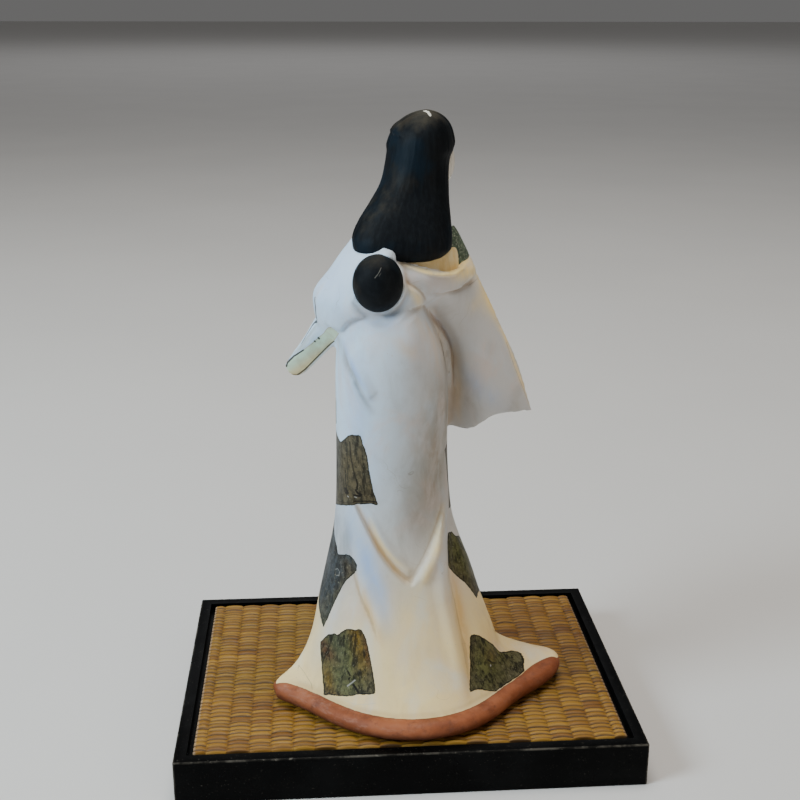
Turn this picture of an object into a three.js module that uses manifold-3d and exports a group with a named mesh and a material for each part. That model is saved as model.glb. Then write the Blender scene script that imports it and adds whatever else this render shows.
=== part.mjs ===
// Painted clay figure of a woman who carries a child on her back, standing on a black
// lacquered base with a woven rush mat let into its top.
// Millimetres, +Z up. The origin is the middle of the base's underside.
// The figure faces -Y, so its back, with the child and the long hair, is towards +Y.

import * as THREE from "three";
import { mergeVertices } from "three/addons/utils/BufferGeometryUtils.js";
import Module from "manifold-3d";

// Driving dimensions of the base and the mat

const baseWidth = 240;
const baseDepth = 173;
const baseHeight = 24;
const baseEdgeBevel = 0.8;
const rimWidth = 9;
const matThickness = 3.7;
const restingGap = 0.3;

// Driving dimensions of the figure

const figureHeight = 307;
const hemRollRadius = 5.1;

// The figure is drawn on a grid of 307 parts from its foot to the top of its hair.
// x runs to her left, y to her back and z up. part() gives a share of the height in mm.

const gridParts = 307;
const part = (count) => (figureHeight * count) / gridParts;

const wasm = await Module();
wasm.setup();

// Small tools for curves

const mix = (from, to, share) => from + (to - from) * share;
const clamp01 = (value) => Math.min(1, Math.max(0, value));

function smoothStep(from, to, value) {
  const share = clamp01((value - from) / (to - from));
  return share * share * (3 - 2 * share);
}

// A smooth line through [position, value] stations, level beyond both ends
function profile(stations) {
  const slopes = stations.map((station, index) => {
    const before = stations[Math.max(0, index - 1)];
    const after = stations[Math.min(stations.length - 1, index + 1)];
    return (after[1] - before[1]) / (after[0] - before[0]);
  });
  return (position) => {
    const last = stations.length - 1;
    if (position <= stations[0][0]) return stations[0][1];
    if (position >= stations[last][0]) return stations[last][1];
    let index = 0;
    while (position > stations[index + 1][0]) index += 1;
    const span = stations[index + 1][0] - stations[index][0];
    const share = (position - stations[index][0]) / span;
    const square = share * share;
    const cube = square * share;
    return (
      stations[index][1] * (2 * cube - 3 * square + 1) +
      slopes[index] * span * (cube - 2 * square + share) +
      stations[index + 1][1] * (3 * square - 2 * cube) +
      slopes[index + 1] * span * (cube - square)
    );
  };
}

// The reach of a rounded square: corner is 2 for an oval and more for squarer shapes
function squareness(across, away, corner) {
  return (Math.abs(across) ** corner + Math.abs(away) ** corner) ** (-1 / corner);
}

// The smaller angle between two directions, in degrees
function turnBetween(first, second) {
  const turn = Math.abs(first - second) % 360;
  return Math.min(turn, 360 - turn);
}

// Solids: each form is a unit shape whose points are moved by a shape function

function toSolid(geometry) {
  geometry.deleteAttribute("normal");
  geometry.deleteAttribute("uv");
  const merged = mergeVertices(geometry, 1e-5);
  const mesh = new wasm.Mesh({
    numProp: 3,
    vertProperties: new Float32Array(merged.attributes.position.array),
    triVerts: new Uint32Array(merged.index.array),
  });
  return new wasm.Manifold(mesh);
}

function toGeometry(solid) {
  const mesh = solid.getMesh();
  const geometry = new THREE.BufferGeometry();
  geometry.setAttribute("position", new THREE.BufferAttribute(mesh.vertProperties, 3));
  geometry.setIndex(new THREE.BufferAttribute(mesh.triVerts, 1));
  geometry.computeVertexNormals();
  return geometry;
}

function movePoints(geometry, shape) {
  const positions = geometry.attributes.position;
  const point = new THREE.Vector3();
  for (let index = 0; index < positions.count; index += 1) {
    point.fromBufferAttribute(positions, index);
    const moved = shape(point);
    positions.setXYZ(index, part(moved[0]), part(moved[1]), part(moved[2]));
  }
  return toSolid(geometry);
}

// shape(angle in radians, rise 0 to 1, reach 0 at the middle of a cap and 1 on the wall)
function loft(around, rings, shape) {
  const geometry = new THREE.CylinderGeometry(1, 1, 1, around, rings);
  return movePoints(geometry, (point) => {
    const reach = Math.min(1, Math.hypot(point.x, point.z));
    const angle = reach > 0.5 ? Math.atan2(point.x, point.z) : 0;
    return shape(angle, point.y + 0.5, Math.round(reach));
  });
}

// shape(unit vector): the direction from the middle of a ball
function ball(around, rings, shape) {
  const geometry = new THREE.SphereGeometry(1, around, rings);
  geometry.rotateX(Math.PI / 2);
  return movePoints(geometry, (point) => shape(point.normalize()));
}

// shape(across, through, up), each from -1 to 1
function block(acrossSteps, throughSteps, upSteps, shape) {
  const geometry = new THREE.BoxGeometry(2, 2, 2, acrossSteps, throughSteps, upSteps);
  return movePoints(geometry, (point) => shape(point.x, point.y, point.z));
}

function ellipsoid(centre, radii, around = 24, rings = 14) {
  return ball(around, rings, (way) => [
    centre[0] + radii[0] * way.x,
    centre[1] + radii[1] * way.y,
    centre[2] + radii[2] * way.z,
  ]);
}

// A limb between two points, with its own radius at each
function limb(start, startRadius, end, endRadius, around = 12) {
  const axis = new THREE.Vector3(end[0] - start[0], end[1] - start[1], end[2] - start[2]);
  const turn = new THREE.Quaternion();
  turn.setFromUnitVectors(new THREE.Vector3(0, 0, 1), axis.clone().normalize());
  return ball(around, 8, (way) => {
    const nearEnd = way.z > 0;
    const radius = nearEnd ? endRadius : startRadius;
    const centre = nearEnd ? end : start;
    const offset = way.clone().multiplyScalar(radius).applyQuaternion(turn);
    return [centre[0] + offset.x, centre[1] + offset.y, centre[2] + offset.z];
  });
}

// A band that follows a curve, with an oval section
function band(points, width, thickness, steps, sides = 4) {
  const section = new THREE.Shape();
  section.absellipse(0, 0, part(thickness / 2), part(width / 2), 0, Math.PI * 2);
  const path = new THREE.CatmullRomCurve3(
    points.map((point) => new THREE.Vector3(part(point[0]), part(point[1]), part(point[2]))),
  );
  const geometry = new THREE.ExtrudeGeometry(section, {
    steps,
    curveSegments: sides,
    bevelEnabled: false,
    extrudePath: path,
  });
  return toSolid(geometry);
}

// Hem: a round skirt about its own middle, with a train drawn out to each side

const hemMiddle = { x: -3, y: 20 };
const hemRadius = 55.5;
const hemTuck = 1;
const leftTrain = { angle: 11, reach: 18, spread: 10.5, roundness: 2.5, foot: 7, rise: 38, fade: 1.8 };
const rightTrain = { angle: 185.5, reach: 25.5, backSpread: 21, frontSpread: 13, foot: 7, rise: 18 };
const backAngle = 90;

function leftTrainReach(angle) {
  const turn = turnBetween(angle, leftTrain.angle);
  const rounded = Math.hypot(turn, leftTrain.roundness) - leftTrain.roundness;
  return leftTrain.reach * Math.exp(-rounded / leftTrain.spread);
}

function rightTrainReach(angle) {
  const turn = turnBetween(angle, rightTrain.angle);
  const isBehind = turnBetween(angle, backAngle) < turnBetween(rightTrain.angle, backAngle);
  const spread = isBehind ? rightTrain.backSpread : rightTrain.frontSpread;
  return rightTrain.reach * Math.exp(-((turn / spread) ** 2));
}

// How far the tips of the trains stand off the mat, and how high up the robe that shows
const tipLift = 2.2;
const liftedHeight = 25;

function trainLift(angle) {
  const left = leftTrainReach(angle) / leftTrain.reach;
  const right = rightTrainReach(angle) / rightTrain.reach;
  return tipLift * (left + right);
}

// Robe: rings about an upright axis, each with its own reach to the four sides

const robeTop = 223;
const robeMiddleX = profile([[0, -3], [30, 0], [60, 4], [90, 6.5], [223, 7]]);
const robeMiddleY = profile([[0, 20], [35, 16], [80, 10], [130, 10], [175, 14], [223, 20]]);
const robeLeft = profile([
  [0, 53.5], [6, 54.5], [12, 53.8], [21, 52], [33, 49], [47, 44.8], [66, 38.2], [86, 32], [100, 29.8],
  [125, 28.7], [160, 28.4],
]);
const robeRight = profile([
  [0, 53.5], [6, 54.5], [12, 53.5], [26, 50.5], [37, 48], [50, 45], [69, 41], [84, 36.5], [100, 32.2],
  [134, 29.6], [160, 29.4],
]);
const robeBack = profile([
  [0, 53], [5, 53.5], [10, 50.5], [20, 44.5], [35, 39], [55, 36], [75, 34.5], [100, 32], [130, 32],
  [150, 34], [175, 36], [200, 37],
]);
const robeFront = profile([
  [0, 53], [5, 53.5], [10, 51], [25, 46], [50, 39], [80, 33], [120, 30], [165, 33], [190, 36],
]);
const bundleShoulder = 160;
const bundleRise = 63.5;
const bundleRoundness = { left: 4, right: 2, depth: 5 };

// How full the bundle on her back still is at a height: 1 up to its shoulder, 0 at its top
function bundleFullness(height, roundness) {
  const climb = clamp01((height - bundleShoulder) / bundleRise);
  return Math.sqrt(Math.max(0, 1 - climb ** roundness));
}

// Folds: a line of [x, z] points seen from one side, sunk or raised by a soft section
// that fades at both ends

const backFolds = [
  { line: [[-21.5, 124], [-22.5, 90], [-24, 62], [-28, 40], [-33, 14]], sink: 5, half: 5 },
  { line: [[31, 88], [27, 74], [22, 61], [18, 48]], sink: 2.4, half: 5 },
  { line: [[27, 126], [23, 108], [16, 93], [7, 82], [-1, 75]], sink: 3, half: 4.6 },
  { line: [[-1, 75], [-8, 85], [-14, 98], [-18, 112], [-20, 128]], sink: 2.6, half: 4 },
  { line: [[-3, 64], [-8, 73], [-14, 86], [-18.5, 104]], sink: -2.6, half: 3.8 },
  { line: [[33, 202], [29, 187], [23, 177], [17, 168]], sink: 3, half: 3.8 },
  { line: [[33, 185], [29, 172], [25, 158]], sink: 1.5, half: 3.8 },
];
const frontFolds = [
  { line: [[-17, 150], [-16, 110], [-18, 70], [-24, 30], [-30, 8]], sink: 2.6, half: 4 },
  { line: [[20, 120], [24, 80], [32, 40], [40, 14]], sink: 2.6, half: 5 },
  { line: [[2, 130], [4, 90], [8, 50], [10, 16]], sink: 2, half: 5 },
];

// How far a fold has faded at the two ends of its line, as shares of half a wave
const foldFadeStart = 0.08;
const foldFadeEnd = 0.92;

// The share along a line and the distance to it, for the nearest point of the line
function nearestOnLine(line, x, z) {
  let nearest = { distance: Infinity, share: 0 };
  for (let index = 0; index + 1 < line.length; index += 1) {
    const [startX, startZ] = line[index];
    const alongX = line[index + 1][0] - startX;
    const alongZ = line[index + 1][1] - startZ;
    const reach = ((x - startX) * alongX + (z - startZ) * alongZ) / (alongX ** 2 + alongZ ** 2);
    const share = clamp01(reach);
    const distance = Math.hypot(x - startX - alongX * share, z - startZ - alongZ * share);
    if (distance < nearest.distance) {
      nearest = { distance, share: (index + share) / (line.length - 1) };
    }
  }
  return nearest;
}

function foldDepth(folds, x, z) {
  return folds.reduce((sum, fold) => {
    const { distance, share } = nearestOnLine(fold.line, x, z);
    const fade = Math.sin(Math.PI * mix(foldFadeStart, foldFadeEnd, share));
    return sum + fold.sink * fade * Math.exp(-((distance / fold.half) ** 2));
  }, 0);
}

// Columns of points crowd toward the back, where the folds are, and rows toward the foot
const backCrowding = 0.32;
const footCrowding = 1.12;
const backCorner = 2.25;
const roundCorner = 2;
const foldSideShare = 0.3;

function robePoint(evenAngle, rise, reach) {
  const angle = evenAngle + backCrowding * Math.cos(evenAngle);
  const height = robeTop * rise ** footCrowding;
  const turned = THREE.MathUtils.radToDeg(angle);
  const across = Math.cos(angle);
  const away = Math.sin(angle);
  const sideRoundness = across > 0 ? bundleRoundness.left : bundleRoundness.right;
  const sideFull = bundleFullness(height, sideRoundness);
  const depthFull = bundleFullness(height, bundleRoundness.depth);
  const side = (across > 0 ? robeLeft(height) : robeRight(height)) * sideFull;
  const depth = (away > 0 ? robeBack(height) : robeFront(height)) * depthFull;
  const corner = mix(roundCorner, away > 0 ? backCorner : roundCorner, smoothStep(20, 90, height));
  const scale = squareness(across, away, corner);
  const leftShare = (1 - clamp01((height - leftTrain.foot) / leftTrain.rise)) ** leftTrain.fade;
  const rightShare = 1 - smoothStep(rightTrain.foot, rightTrain.foot + rightTrain.rise, height);
  const trains = leftTrainReach(turned) * leftShare + rightTrainReach(turned) * rightShare;
  const middleX = robeMiddleX(height);
  const middleY = robeMiddleY(height);
  const lift = trainLift(turned) * (1 - smoothStep(0, liftedHeight, height));
  let x = middleX + across * (side * scale + trains) * reach;
  let y = middleY + away * (depth * scale + trains) * reach;
  const facing = smoothStep(0.15, 0.55, Math.abs(away)) * reach;
  const sink = foldDepth(away > 0 ? backFolds : frontFolds, x, height) * facing;
  x -= across * sink * foldSideShare;
  y -= Math.sign(away) * sink;
  return [x, y, height + lift * reach];
}

function makeHemRoll() {
  const ringRadius = 2;
  const geometry = new THREE.TorusGeometry(ringRadius, 1, 6, 56);
  const thickness = (hemRollRadius * gridParts) / figureHeight;
  return movePoints(geometry, (point) => {
    const angle = Math.atan2(point.y, point.x);
    const turned = THREE.MathUtils.radToDeg(angle);
    const outward = (Math.hypot(point.x, point.y) - ringRadius) * thickness;
    const trains = leftTrainReach(turned) + rightTrainReach(turned);
    const radius = hemRadius - hemTuck + trains + outward;
    return [
      hemMiddle.x + Math.cos(angle) * radius,
      hemMiddle.y + Math.sin(angle) * radius,
      thickness + point.z * thickness + trainLift(turned),
    ];
  });
}

// Right sleeve: a broad bag that hangs from the forearm, drawn to a point at its outer edge

const rightSleeveOuterX = profile([[0, -68.5], [0.3, -60], [0.6, -49.5], [0.85, -39.5], [1, -33]]);
const rightSleeveFoot = profile([
  [0, 146], [0.25, 145.5], [0.45, 149.5], [0.65, 152], [0.9, 152.5], [1, 154.5],
]);
const rightSleeveBow = profile([[0, -6], [0.25, -2], [0.5, 7], [0.75, 7], [1, -1]]);
const rightSleeve = {
  innerFootX: -16,
  innerTopX: 8,
  innerTopZ: 226,
  outerTopZ: 234,
  middleY: 4,
  topBow: 0.45,
  innerHalf: 5,
  middleHalf: 6.5,
  topHalf: 12,
  edgeHalf: 1.6,
  shoulderDepth: 9,
  forearmDepth: 14,
};

function rightSleevePoint(across, through, up) {
  const rise = (up + 1) / 2;
  const share = (1 - across) / 2;
  const topZ = mix(rightSleeve.innerTopZ, rightSleeve.outerTopZ, share);
  const innerX = mix(rightSleeve.innerFootX, rightSleeve.innerTopX, rise);
  const bow = rightSleeveBow(share) * mix(1, rightSleeve.topBow, rise);
  const bagHalf = mix(rightSleeve.innerHalf, rightSleeve.middleHalf, 1 - across * across);
  const half = mix(bagHalf, rightSleeve.topHalf, smoothStep(0.55, 1, rise));
  const edge = mix(half, rightSleeve.edgeHalf, smoothStep(0.5, 1, share));
  const shoulder = rightSleeve.shoulderDepth * smoothStep(0.45, 1, rise) * (1 - share);
  const swell = rightSleeve.forearmDepth * smoothStep(0.35, 0.8, rise) * (1 - share);
  const thickness = through < 0 ? edge + swell : edge;
  return [
    mix(innerX, rightSleeveOuterX(rise), share),
    rightSleeve.middleY + bow + shoulder + through * thickness,
    mix(rightSleeveFoot(share), topZ, rise),
  ];
}

// Left sleeve: its open back edge shows from behind as a long bar below the elbow

const leftSleeveBar = { innerX: 32, innerZ: 197, outerX: 59.5, outerZ: 176.5, half: 3.4, y: 8 };
const leftSleeveMouth = { innerX: 13, innerZ: 201, outerX: 51, outerZ: 177, half: 5, y: -40 };

const leftSleeveSlope = { x: 0.57, z: 0.82 };
const leftSleeveUpper = 12;
const leftSleeveUpperAtBar = 0.3;

function leftSleevePoint(across, through, up) {
  const share = (across + 1) / 2;
  const depth = (through + 1) / 2;
  const innerX = mix(leftSleeveMouth.innerX, leftSleeveBar.innerX, depth);
  const outerX = mix(leftSleeveMouth.outerX, leftSleeveBar.outerX, depth);
  const innerZ = mix(leftSleeveMouth.innerZ, leftSleeveBar.innerZ, depth);
  const outerZ = mix(leftSleeveMouth.outerZ, leftSleeveBar.outerZ, depth);
  const half = mix(leftSleeveMouth.half, leftSleeveBar.half, depth);
  const roundEnd = Math.sqrt(1 - across ** 6);
  const taper = 1 - smoothStep(0, 0.9, share);
  const upper = leftSleeveUpper * taper * mix(1, leftSleeveUpperAtBar, smoothStep(0.6, 1, depth));
  const reach = (up > 0 ? half + upper : half) * mix(0.45, 1, roundEnd);
  return [
    mix(innerX, outerX, share) + leftSleeveSlope.x * reach * up,
    mix(leftSleeveMouth.y, leftSleeveBar.y, depth),
    mix(innerZ, outerZ, share) + leftSleeveSlope.z * reach * up,
  ];
}

// Hair: a cap over the head that falls down her back and spreads over the left shoulder

const hairTop = 307;
const hairFoot = 236;
const crownFoot = 284;
const crownTilt = 0.16;
const crownRidgeX = -11;
const hairLeft = profile([
  [236, 17], [240, 24.5], [246, 26.4], [250, 26], [256, 23], [264, 17.6], [273, 12.2], [282, 10.2],
  [292, 8.8], [307, 8],
]);
const hairRight = profile([
  [236, -17], [240, -21], [247, -23], [256, -22.6], [264, -21.4], [273, -20.3], [281, -20.4],
  [288, -23.2], [297, -24.6], [307, -26],
]);
const hairBack = profile([[236, 36.5], [246, 36], [257, 31.5], [271, 25], [285, 22], [307, 21]]);
const hairFront = profile([[236, 10], [250, 5], [268, -4], [282, -14], [307, -15]]);

const hairRowCrowding = 1.35;
const crownFlatness = { power: 3, root: 0.46, margin: 0.3 };
const hairFootRound = { share: 0.75, height: 5 };
const hairFootCorner = 2.6;

function hairPoint(angle, rise, reach) {
  const height = mix(hairFoot, hairTop, 1 - (1 - rise) ** hairRowCrowding);
  const crown = clamp01((height - crownFoot) / (hairTop - crownFoot + crownFlatness.margin));
  const dome = (1 - crown ** crownFlatness.power) ** crownFlatness.root;
  const footRise = Math.sqrt(clamp01((height - hairFoot) / hairFootRound.height));
  const foot = mix(hairFootRound.share, 1, footRise);
  const across = Math.cos(angle);
  const away = Math.sin(angle);
  const left = hairLeft(height);
  const right = hairRight(height);
  const back = hairBack(height);
  const front = hairFront(height);
  const corner = mix(hairFootCorner, roundCorner, smoothStep(255, 285, height));
  const scale = squareness(across, away, corner);
  const width = ((left - right) / 2) * dome * foot * scale * reach;
  const depth = ((back - front) / 2) * dome * foot * scale * reach;
  const x = (left + right) / 2 + across * width;
  const tilt = crown * crownTilt * Math.max(0, x - crownRidgeX);
  return [x, (back + front) / 2 + away * depth, height - tilt];
}

// Mantle: the shoulders and upper arms of the robe, higher on her left

const mantleFoot = 190;
const mantleTop = 236;
const mantleLeft = profile([
  [190, 30], [198, 40], [206, 45.5], [212, 46.4], [219, 42], [228, 34], [236, 26],
]);
const mantleRight = profile([
  [190, -8], [205, -14], [216, -27], [224, -37.5], [230, -35], [236, -31],
]);
const mantleBack = profile([[190, 24], [205, 33], [215, 38], [226, 40], [232, 37], [236, 33]]);
const mantleFront = profile([[190, -16], [205, -22], [220, -23], [236, -18]]);

const mantleCorner = { left: 3, right: 1.4 };
const mantleClimb = { share: 0.34, foot: 200 };

function mantlePoint(angle, rise, reach) {
  const height = mix(mantleFoot, mantleTop, rise);
  const across = Math.cos(angle);
  const away = Math.sin(angle);
  const left = mantleLeft(height);
  const right = mantleRight(height);
  const back = mantleBack(height);
  const front = mantleFront(height);
  const scale = squareness(across, away, across > 0 ? mantleCorner.left : mantleCorner.right);
  const width = ((left - right) / 2) * scale * reach;
  const depth = ((back - front) / 2) * scale * reach;
  const x = (left + right) / 2 + across * width;
  const climb = Math.max(0, x) * mantleClimb.share * smoothStep(mantleClimb.foot, mantleTop, height);
  return [x, (back + front) / 2 + away * depth, height + climb];
}

function makeRobe() {
  const body = loft(56, 32, robePoint);
  const mantle = loft(26, 8, mantlePoint);
  const shawl = ellipsoid([20, 20, 226], [22, 26, 17], 16, 8);
  const nape = ellipsoid([8, 28, 214], [16.5, 22, 20], 14, 8);
  const headRim = ellipsoid([15, 36, 228.5], [13.4, 11, 15.4], 16, 8);
  const leftForearm = limb([35, 0, 210], 11, [14, -34, 208], 8);
  const rightForearm = limb([-30, -8, 212], 9, [-12, -32, 206], 8);
  const rightBag = block(8, 2, 7, rightSleevePoint);
  const leftBag = block(6, 3, 2, leftSleevePoint);
  return body
    .add(makeHemRoll())
    .add(mantle)
    .add(shawl)
    .add(nape)
    .add(headRim)
    .add(leftForearm)
    .add(rightForearm)
    .add(rightBag)
    .add(leftBag);
}

// Collars: the robe's, drawn back from the nape, and the patterned one inside it

const robeCollarLine = [
  [-3, -23, 214], [-20, -17, 228], [-32, 2, 234], [-29, 18, 231], [-21, 30, 231.5], [-8, 35, 235],
  [6, 33, 238], [18, 24, 241], [22, 4, 242], [16, -14, 232], [2, -22, 216], [-9, -24, 205],
];
const innerCollarLine = [
  [-4, -22, 220], [-20, -15, 236], [-29, -4, 243], [-24, 14, 241], [-8, 22, 240], [8, 18, 242],
  [18, 2, 244], [12, -14, 235], [-2, -21, 221],
];

function makeFigure() {
  const hair = loft(24, 18, hairPoint);
  const face = ellipsoid([-9.5, -5, 286], [14.2, 16.5, 20], 18, 12);
  const neck = limb([-4, 3, 240], 10, [-7, 0, 272], 9.5);
  const childHead = ellipsoid([15.2, 38.5, 229], [12.3, 12.6, 14.2], 20, 12);
  const robeCollar = band(robeCollarLine, 9, 3.4, 30);
  const innerCollar = band(innerCollarLine, 12, 4, 24);
  const leftHand = ellipsoid([9, -38, 207], [5, 7, 5], 12, 8);
  const rightHand = ellipsoid([-8, -37, 204], [5, 7, 5], 12, 8);
  return makeRobe()
    .add(neck)
    .add(robeCollar)
    .add(innerCollar)
    .add(face)
    .add(hair)
    .add(childHead)
    .add(leftHand)
    .add(rightHand);
}

// Base: one bevelled board with a shallow recess that leaves a rim all round

function bevelledBoard(width, depth, height, bevel) {
  const outline = new THREE.Shape();
  outline.moveTo(-width / 2 + bevel, -depth / 2 + bevel);
  outline.lineTo(width / 2 - bevel, -depth / 2 + bevel);
  outline.lineTo(width / 2 - bevel, depth / 2 - bevel);
  outline.lineTo(-width / 2 + bevel, depth / 2 - bevel);
  outline.closePath();
  const geometry = new THREE.ExtrudeGeometry(outline, {
    depth: height - 2 * bevel,
    bevelSize: bevel,
    bevelThickness: bevel,
    bevelSegments: 1,
  });
  geometry.translate(0, 0, bevel);
  return geometry;
}

const recessDepth = matThickness + restingGap;
const recessWidth = baseWidth - 2 * rimWidth;
const recessLength = baseDepth - 2 * rimWidth;

function makeBase() {
  const board = toSolid(bevelledBoard(baseWidth, baseDepth, baseHeight, baseEdgeBevel));
  const recess = new THREE.BoxGeometry(recessWidth, recessLength, recessDepth * 2);
  recess.translate(0, 0, baseHeight);
  return board.subtract(toSolid(recess));
}

function makeMat() {
  const width = recessWidth - 2 * restingGap;
  const length = recessLength - 2 * restingGap;
  return new THREE.BoxGeometry(width, length, matThickness);
}

// Finishes

const gofun = new THREE.MeshStandardMaterial({ color: 0xdedbd4, roughness: 0.7, metalness: 0 });
const lacquer = new THREE.MeshStandardMaterial({ color: 0x0d0e10, roughness: 0.32, metalness: 0 });
const rush = new THREE.MeshStandardMaterial({ color: 0xa88a52, roughness: 0.75, metalness: 0 });

function named(name, geometry, material, height = 0) {
  const mesh = new THREE.Mesh(geometry, material);
  mesh.name = name;
  mesh.position.set(0, 0, height);
  return mesh;
}

const doll = new THREE.Group();
doll.add(named("base_frame", toGeometry(makeBase()), lacquer));
doll.add(named("tatami_mat", makeMat(), rush, baseHeight - matThickness / 2));
doll.add(named("figure", toGeometry(makeFigure()), gofun, baseHeight + restingGap));

export default doll;
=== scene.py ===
"""Finished looks of a painted clay doll on a lacquered base with a woven rush mat.

The doll is a woman in a trailing robe who carries a child on her back. Only the child's
head shows above the cloth. Sizes of the figure are grid parts: 307 parts from its foot to
the top of its hair, with x to her left, y to her back and z up. One part is 1 mm at the
real size. Everything else is in metres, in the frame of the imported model.
"""

import logging
import math
from collections.abc import Callable
from dataclasses import dataclass
from enum import Enum, IntEnum
from functools import reduce

import bmesh
import bpy
import numpy as np
from mathutils import Matrix, Vector


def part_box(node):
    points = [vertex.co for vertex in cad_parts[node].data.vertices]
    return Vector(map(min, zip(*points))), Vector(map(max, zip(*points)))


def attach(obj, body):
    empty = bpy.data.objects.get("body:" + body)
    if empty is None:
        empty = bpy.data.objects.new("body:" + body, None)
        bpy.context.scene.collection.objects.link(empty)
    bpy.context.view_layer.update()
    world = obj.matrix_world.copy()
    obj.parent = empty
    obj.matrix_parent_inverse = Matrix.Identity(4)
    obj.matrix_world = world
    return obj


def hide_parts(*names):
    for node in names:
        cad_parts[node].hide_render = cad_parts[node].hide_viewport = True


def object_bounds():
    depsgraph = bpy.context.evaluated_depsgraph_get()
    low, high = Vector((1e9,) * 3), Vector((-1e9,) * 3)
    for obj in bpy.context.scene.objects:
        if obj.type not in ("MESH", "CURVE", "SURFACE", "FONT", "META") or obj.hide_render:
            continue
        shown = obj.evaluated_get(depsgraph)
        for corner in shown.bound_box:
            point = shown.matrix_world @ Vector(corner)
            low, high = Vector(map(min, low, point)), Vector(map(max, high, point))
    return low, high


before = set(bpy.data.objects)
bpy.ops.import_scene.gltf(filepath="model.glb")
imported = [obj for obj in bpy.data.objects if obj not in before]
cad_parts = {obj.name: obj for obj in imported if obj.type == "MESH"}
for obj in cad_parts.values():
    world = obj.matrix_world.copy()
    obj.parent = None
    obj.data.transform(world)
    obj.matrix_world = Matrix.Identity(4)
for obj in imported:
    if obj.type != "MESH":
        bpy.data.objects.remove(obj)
cad_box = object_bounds()
log = logging.getLogger("doll")

Array = np.ndarray
Colour = tuple[float, float, float]
Point = tuple[float, float, float]
Line = tuple[tuple[float, float], ...]
Socket = bpy.types.NodeSocket
Form = bmesh.types.BMesh

FULL_TURN = 360
GRID_PARTS = 307.0
PHOTO_SIDE = 800


# Small tools for curves


def mix(start: Array | float, end: Array | float, share: Array | float) -> Array | float:
    """Return the value that lies a share of the way from start to end."""
    return start + (end - start) * share


def clamp01(value: Array | float) -> Array:
    """Return the value held between 0 and 1."""
    return np.clip(value, 0.0, 1.0)


def smooth_step(start: float, end: float, value: Array | float) -> Array:
    """Return 0 at start, 1 at end and an S-shaped rise between them."""
    share = clamp01((value - start) / (end - start))
    return share * share * (3 - 2 * share)


def bell(distance: Array, half: float) -> Array:
    """Return a soft hump, 1 on a line and fading with the distance to it."""
    return np.exp(-((distance / half) ** 2))


def squareness(across: Array, away: Array, corner: Array | float) -> Array:
    """Return the reach of a rounded square, where a corner of 2 gives an oval."""
    return (np.abs(across) ** corner + np.abs(away) ** corner) ** (-1 / corner)


@dataclass(frozen=True)
class Profile:
    """A smooth line through (position, value) stations, level beyond both ends."""

    stations: Line

    def __call__(self, position: Array | float) -> Array:
        """Return the value at each position.

        Args:
            position: where along the line to read it.

        Returns:
            The values, in the shape of the positions.
        """
        places, values = np.array(self.stations, float).T
        before = np.r_[0, np.arange(len(places) - 1)]
        after = np.r_[np.arange(1, len(places)), len(places) - 1]
        slopes = (values[after] - values[before]) / (places[after] - places[before])
        inside = np.clip(position, places[0], places[-1])
        index = np.clip(np.searchsorted(places, inside) - 1, 0, len(places) - 2)
        span = places[index + 1] - places[index]
        share = (inside - places[index]) / span
        square = share * share
        cube = square * share
        return (
            values[index] * (2 * cube - 3 * square + 1)
            + slopes[index] * span * (cube - 2 * square + share)
            + values[index + 1] * (3 * square - 2 * cube)
            + slopes[index + 1] * span * (cube - square)
        )


def nearest_on_line(line: Line, u: Array, v: Array) -> tuple[Array, Array]:
    """Find the nearest point of a broken line for each point.

    Args:
        line: the line's corners.
        u: first coordinate of the points.
        v: second coordinate of the points.

    Returns:
        The distance to the line, and the share along it of the nearest point.
    """
    nearest = np.full(np.shape(u), np.inf)
    place = np.zeros(np.shape(u))
    steps = len(line) - 1
    for index in range(steps):
        start, end = line[index], line[index + 1]
        along_u, along_v = end[0] - start[0], end[1] - start[1]
        share = ((u - start[0]) * along_u + (v - start[1]) * along_v) / (along_u**2 + along_v**2)
        share = clamp01(share)
        distance = np.hypot(u - start[0] - along_u * share, v - start[1] - along_v * share)
        closer = distance < nearest
        nearest = np.where(closer, distance, nearest)
        place = np.where(closer, (index + share) / steps, place)
    return nearest, place


def beside(line: Line, u: Array, v: Array) -> tuple[Array, Array]:
    """Find how far each point lies to one side of a broken line.

    Args:
        line: the line's corners.
        u: first coordinate of the points.
        v: second coordinate of the points.

    Returns:
        The distance, positive where the second coordinate grows to the left of the run,
        and the share along the line of the nearest point.
    """
    distance, share = nearest_on_line(line, u, v)
    steps = len(line) - 1
    index = np.clip((share * steps - 1e-9).astype(int), 0, steps - 1)
    corners = np.array(line, float)
    ahead = (corners[1:] - corners[:-1])[index]
    away_u, away_v = u - corners[index, 0], v - corners[index, 1]
    side = ahead[:, 0] * away_v - ahead[:, 1] * away_u
    return np.where(side > 0, distance, -distance), share


def depth_inside(outline: Line, u: Array, v: Array) -> Array:
    """Find how far inside a closed outline each point lies.

    Args:
        outline: the outline's corners.
        u: first coordinate of the points.
        v: second coordinate of the points.

    Returns:
        The distance to the outline, negative outside it.
    """
    closed = (*outline, outline[0])
    distance, _ = nearest_on_line(closed, u, v)
    inside = np.zeros(np.shape(u), bool)
    for (start_u, start_v), (end_u, end_v) in zip(closed, closed[1:]):
        spans = (start_v > v) != (end_v > v)
        rise = end_v - start_v if end_v != start_v else 1.0
        crossing = start_u + (v - start_v) / rise * (end_u - start_u)
        inside ^= spans & (u < crossing)
    return np.where(inside, distance, -distance)


# Forms: unit shapes whose points are moved by a shape function


def move_points(form: Form, move: Callable[[Array], Array]) -> Form:
    """Move every point of a form by a rule.

    Args:
        form: the form to change.
        move: gives the new points, one row each, for the old ones.

    Returns:
        The same form.
    """
    points = np.array([vertex.co for vertex in form.verts], float)
    for vertex, place in zip(form.verts, move(points).tolist()):
        vertex.co = place
    return form


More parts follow.
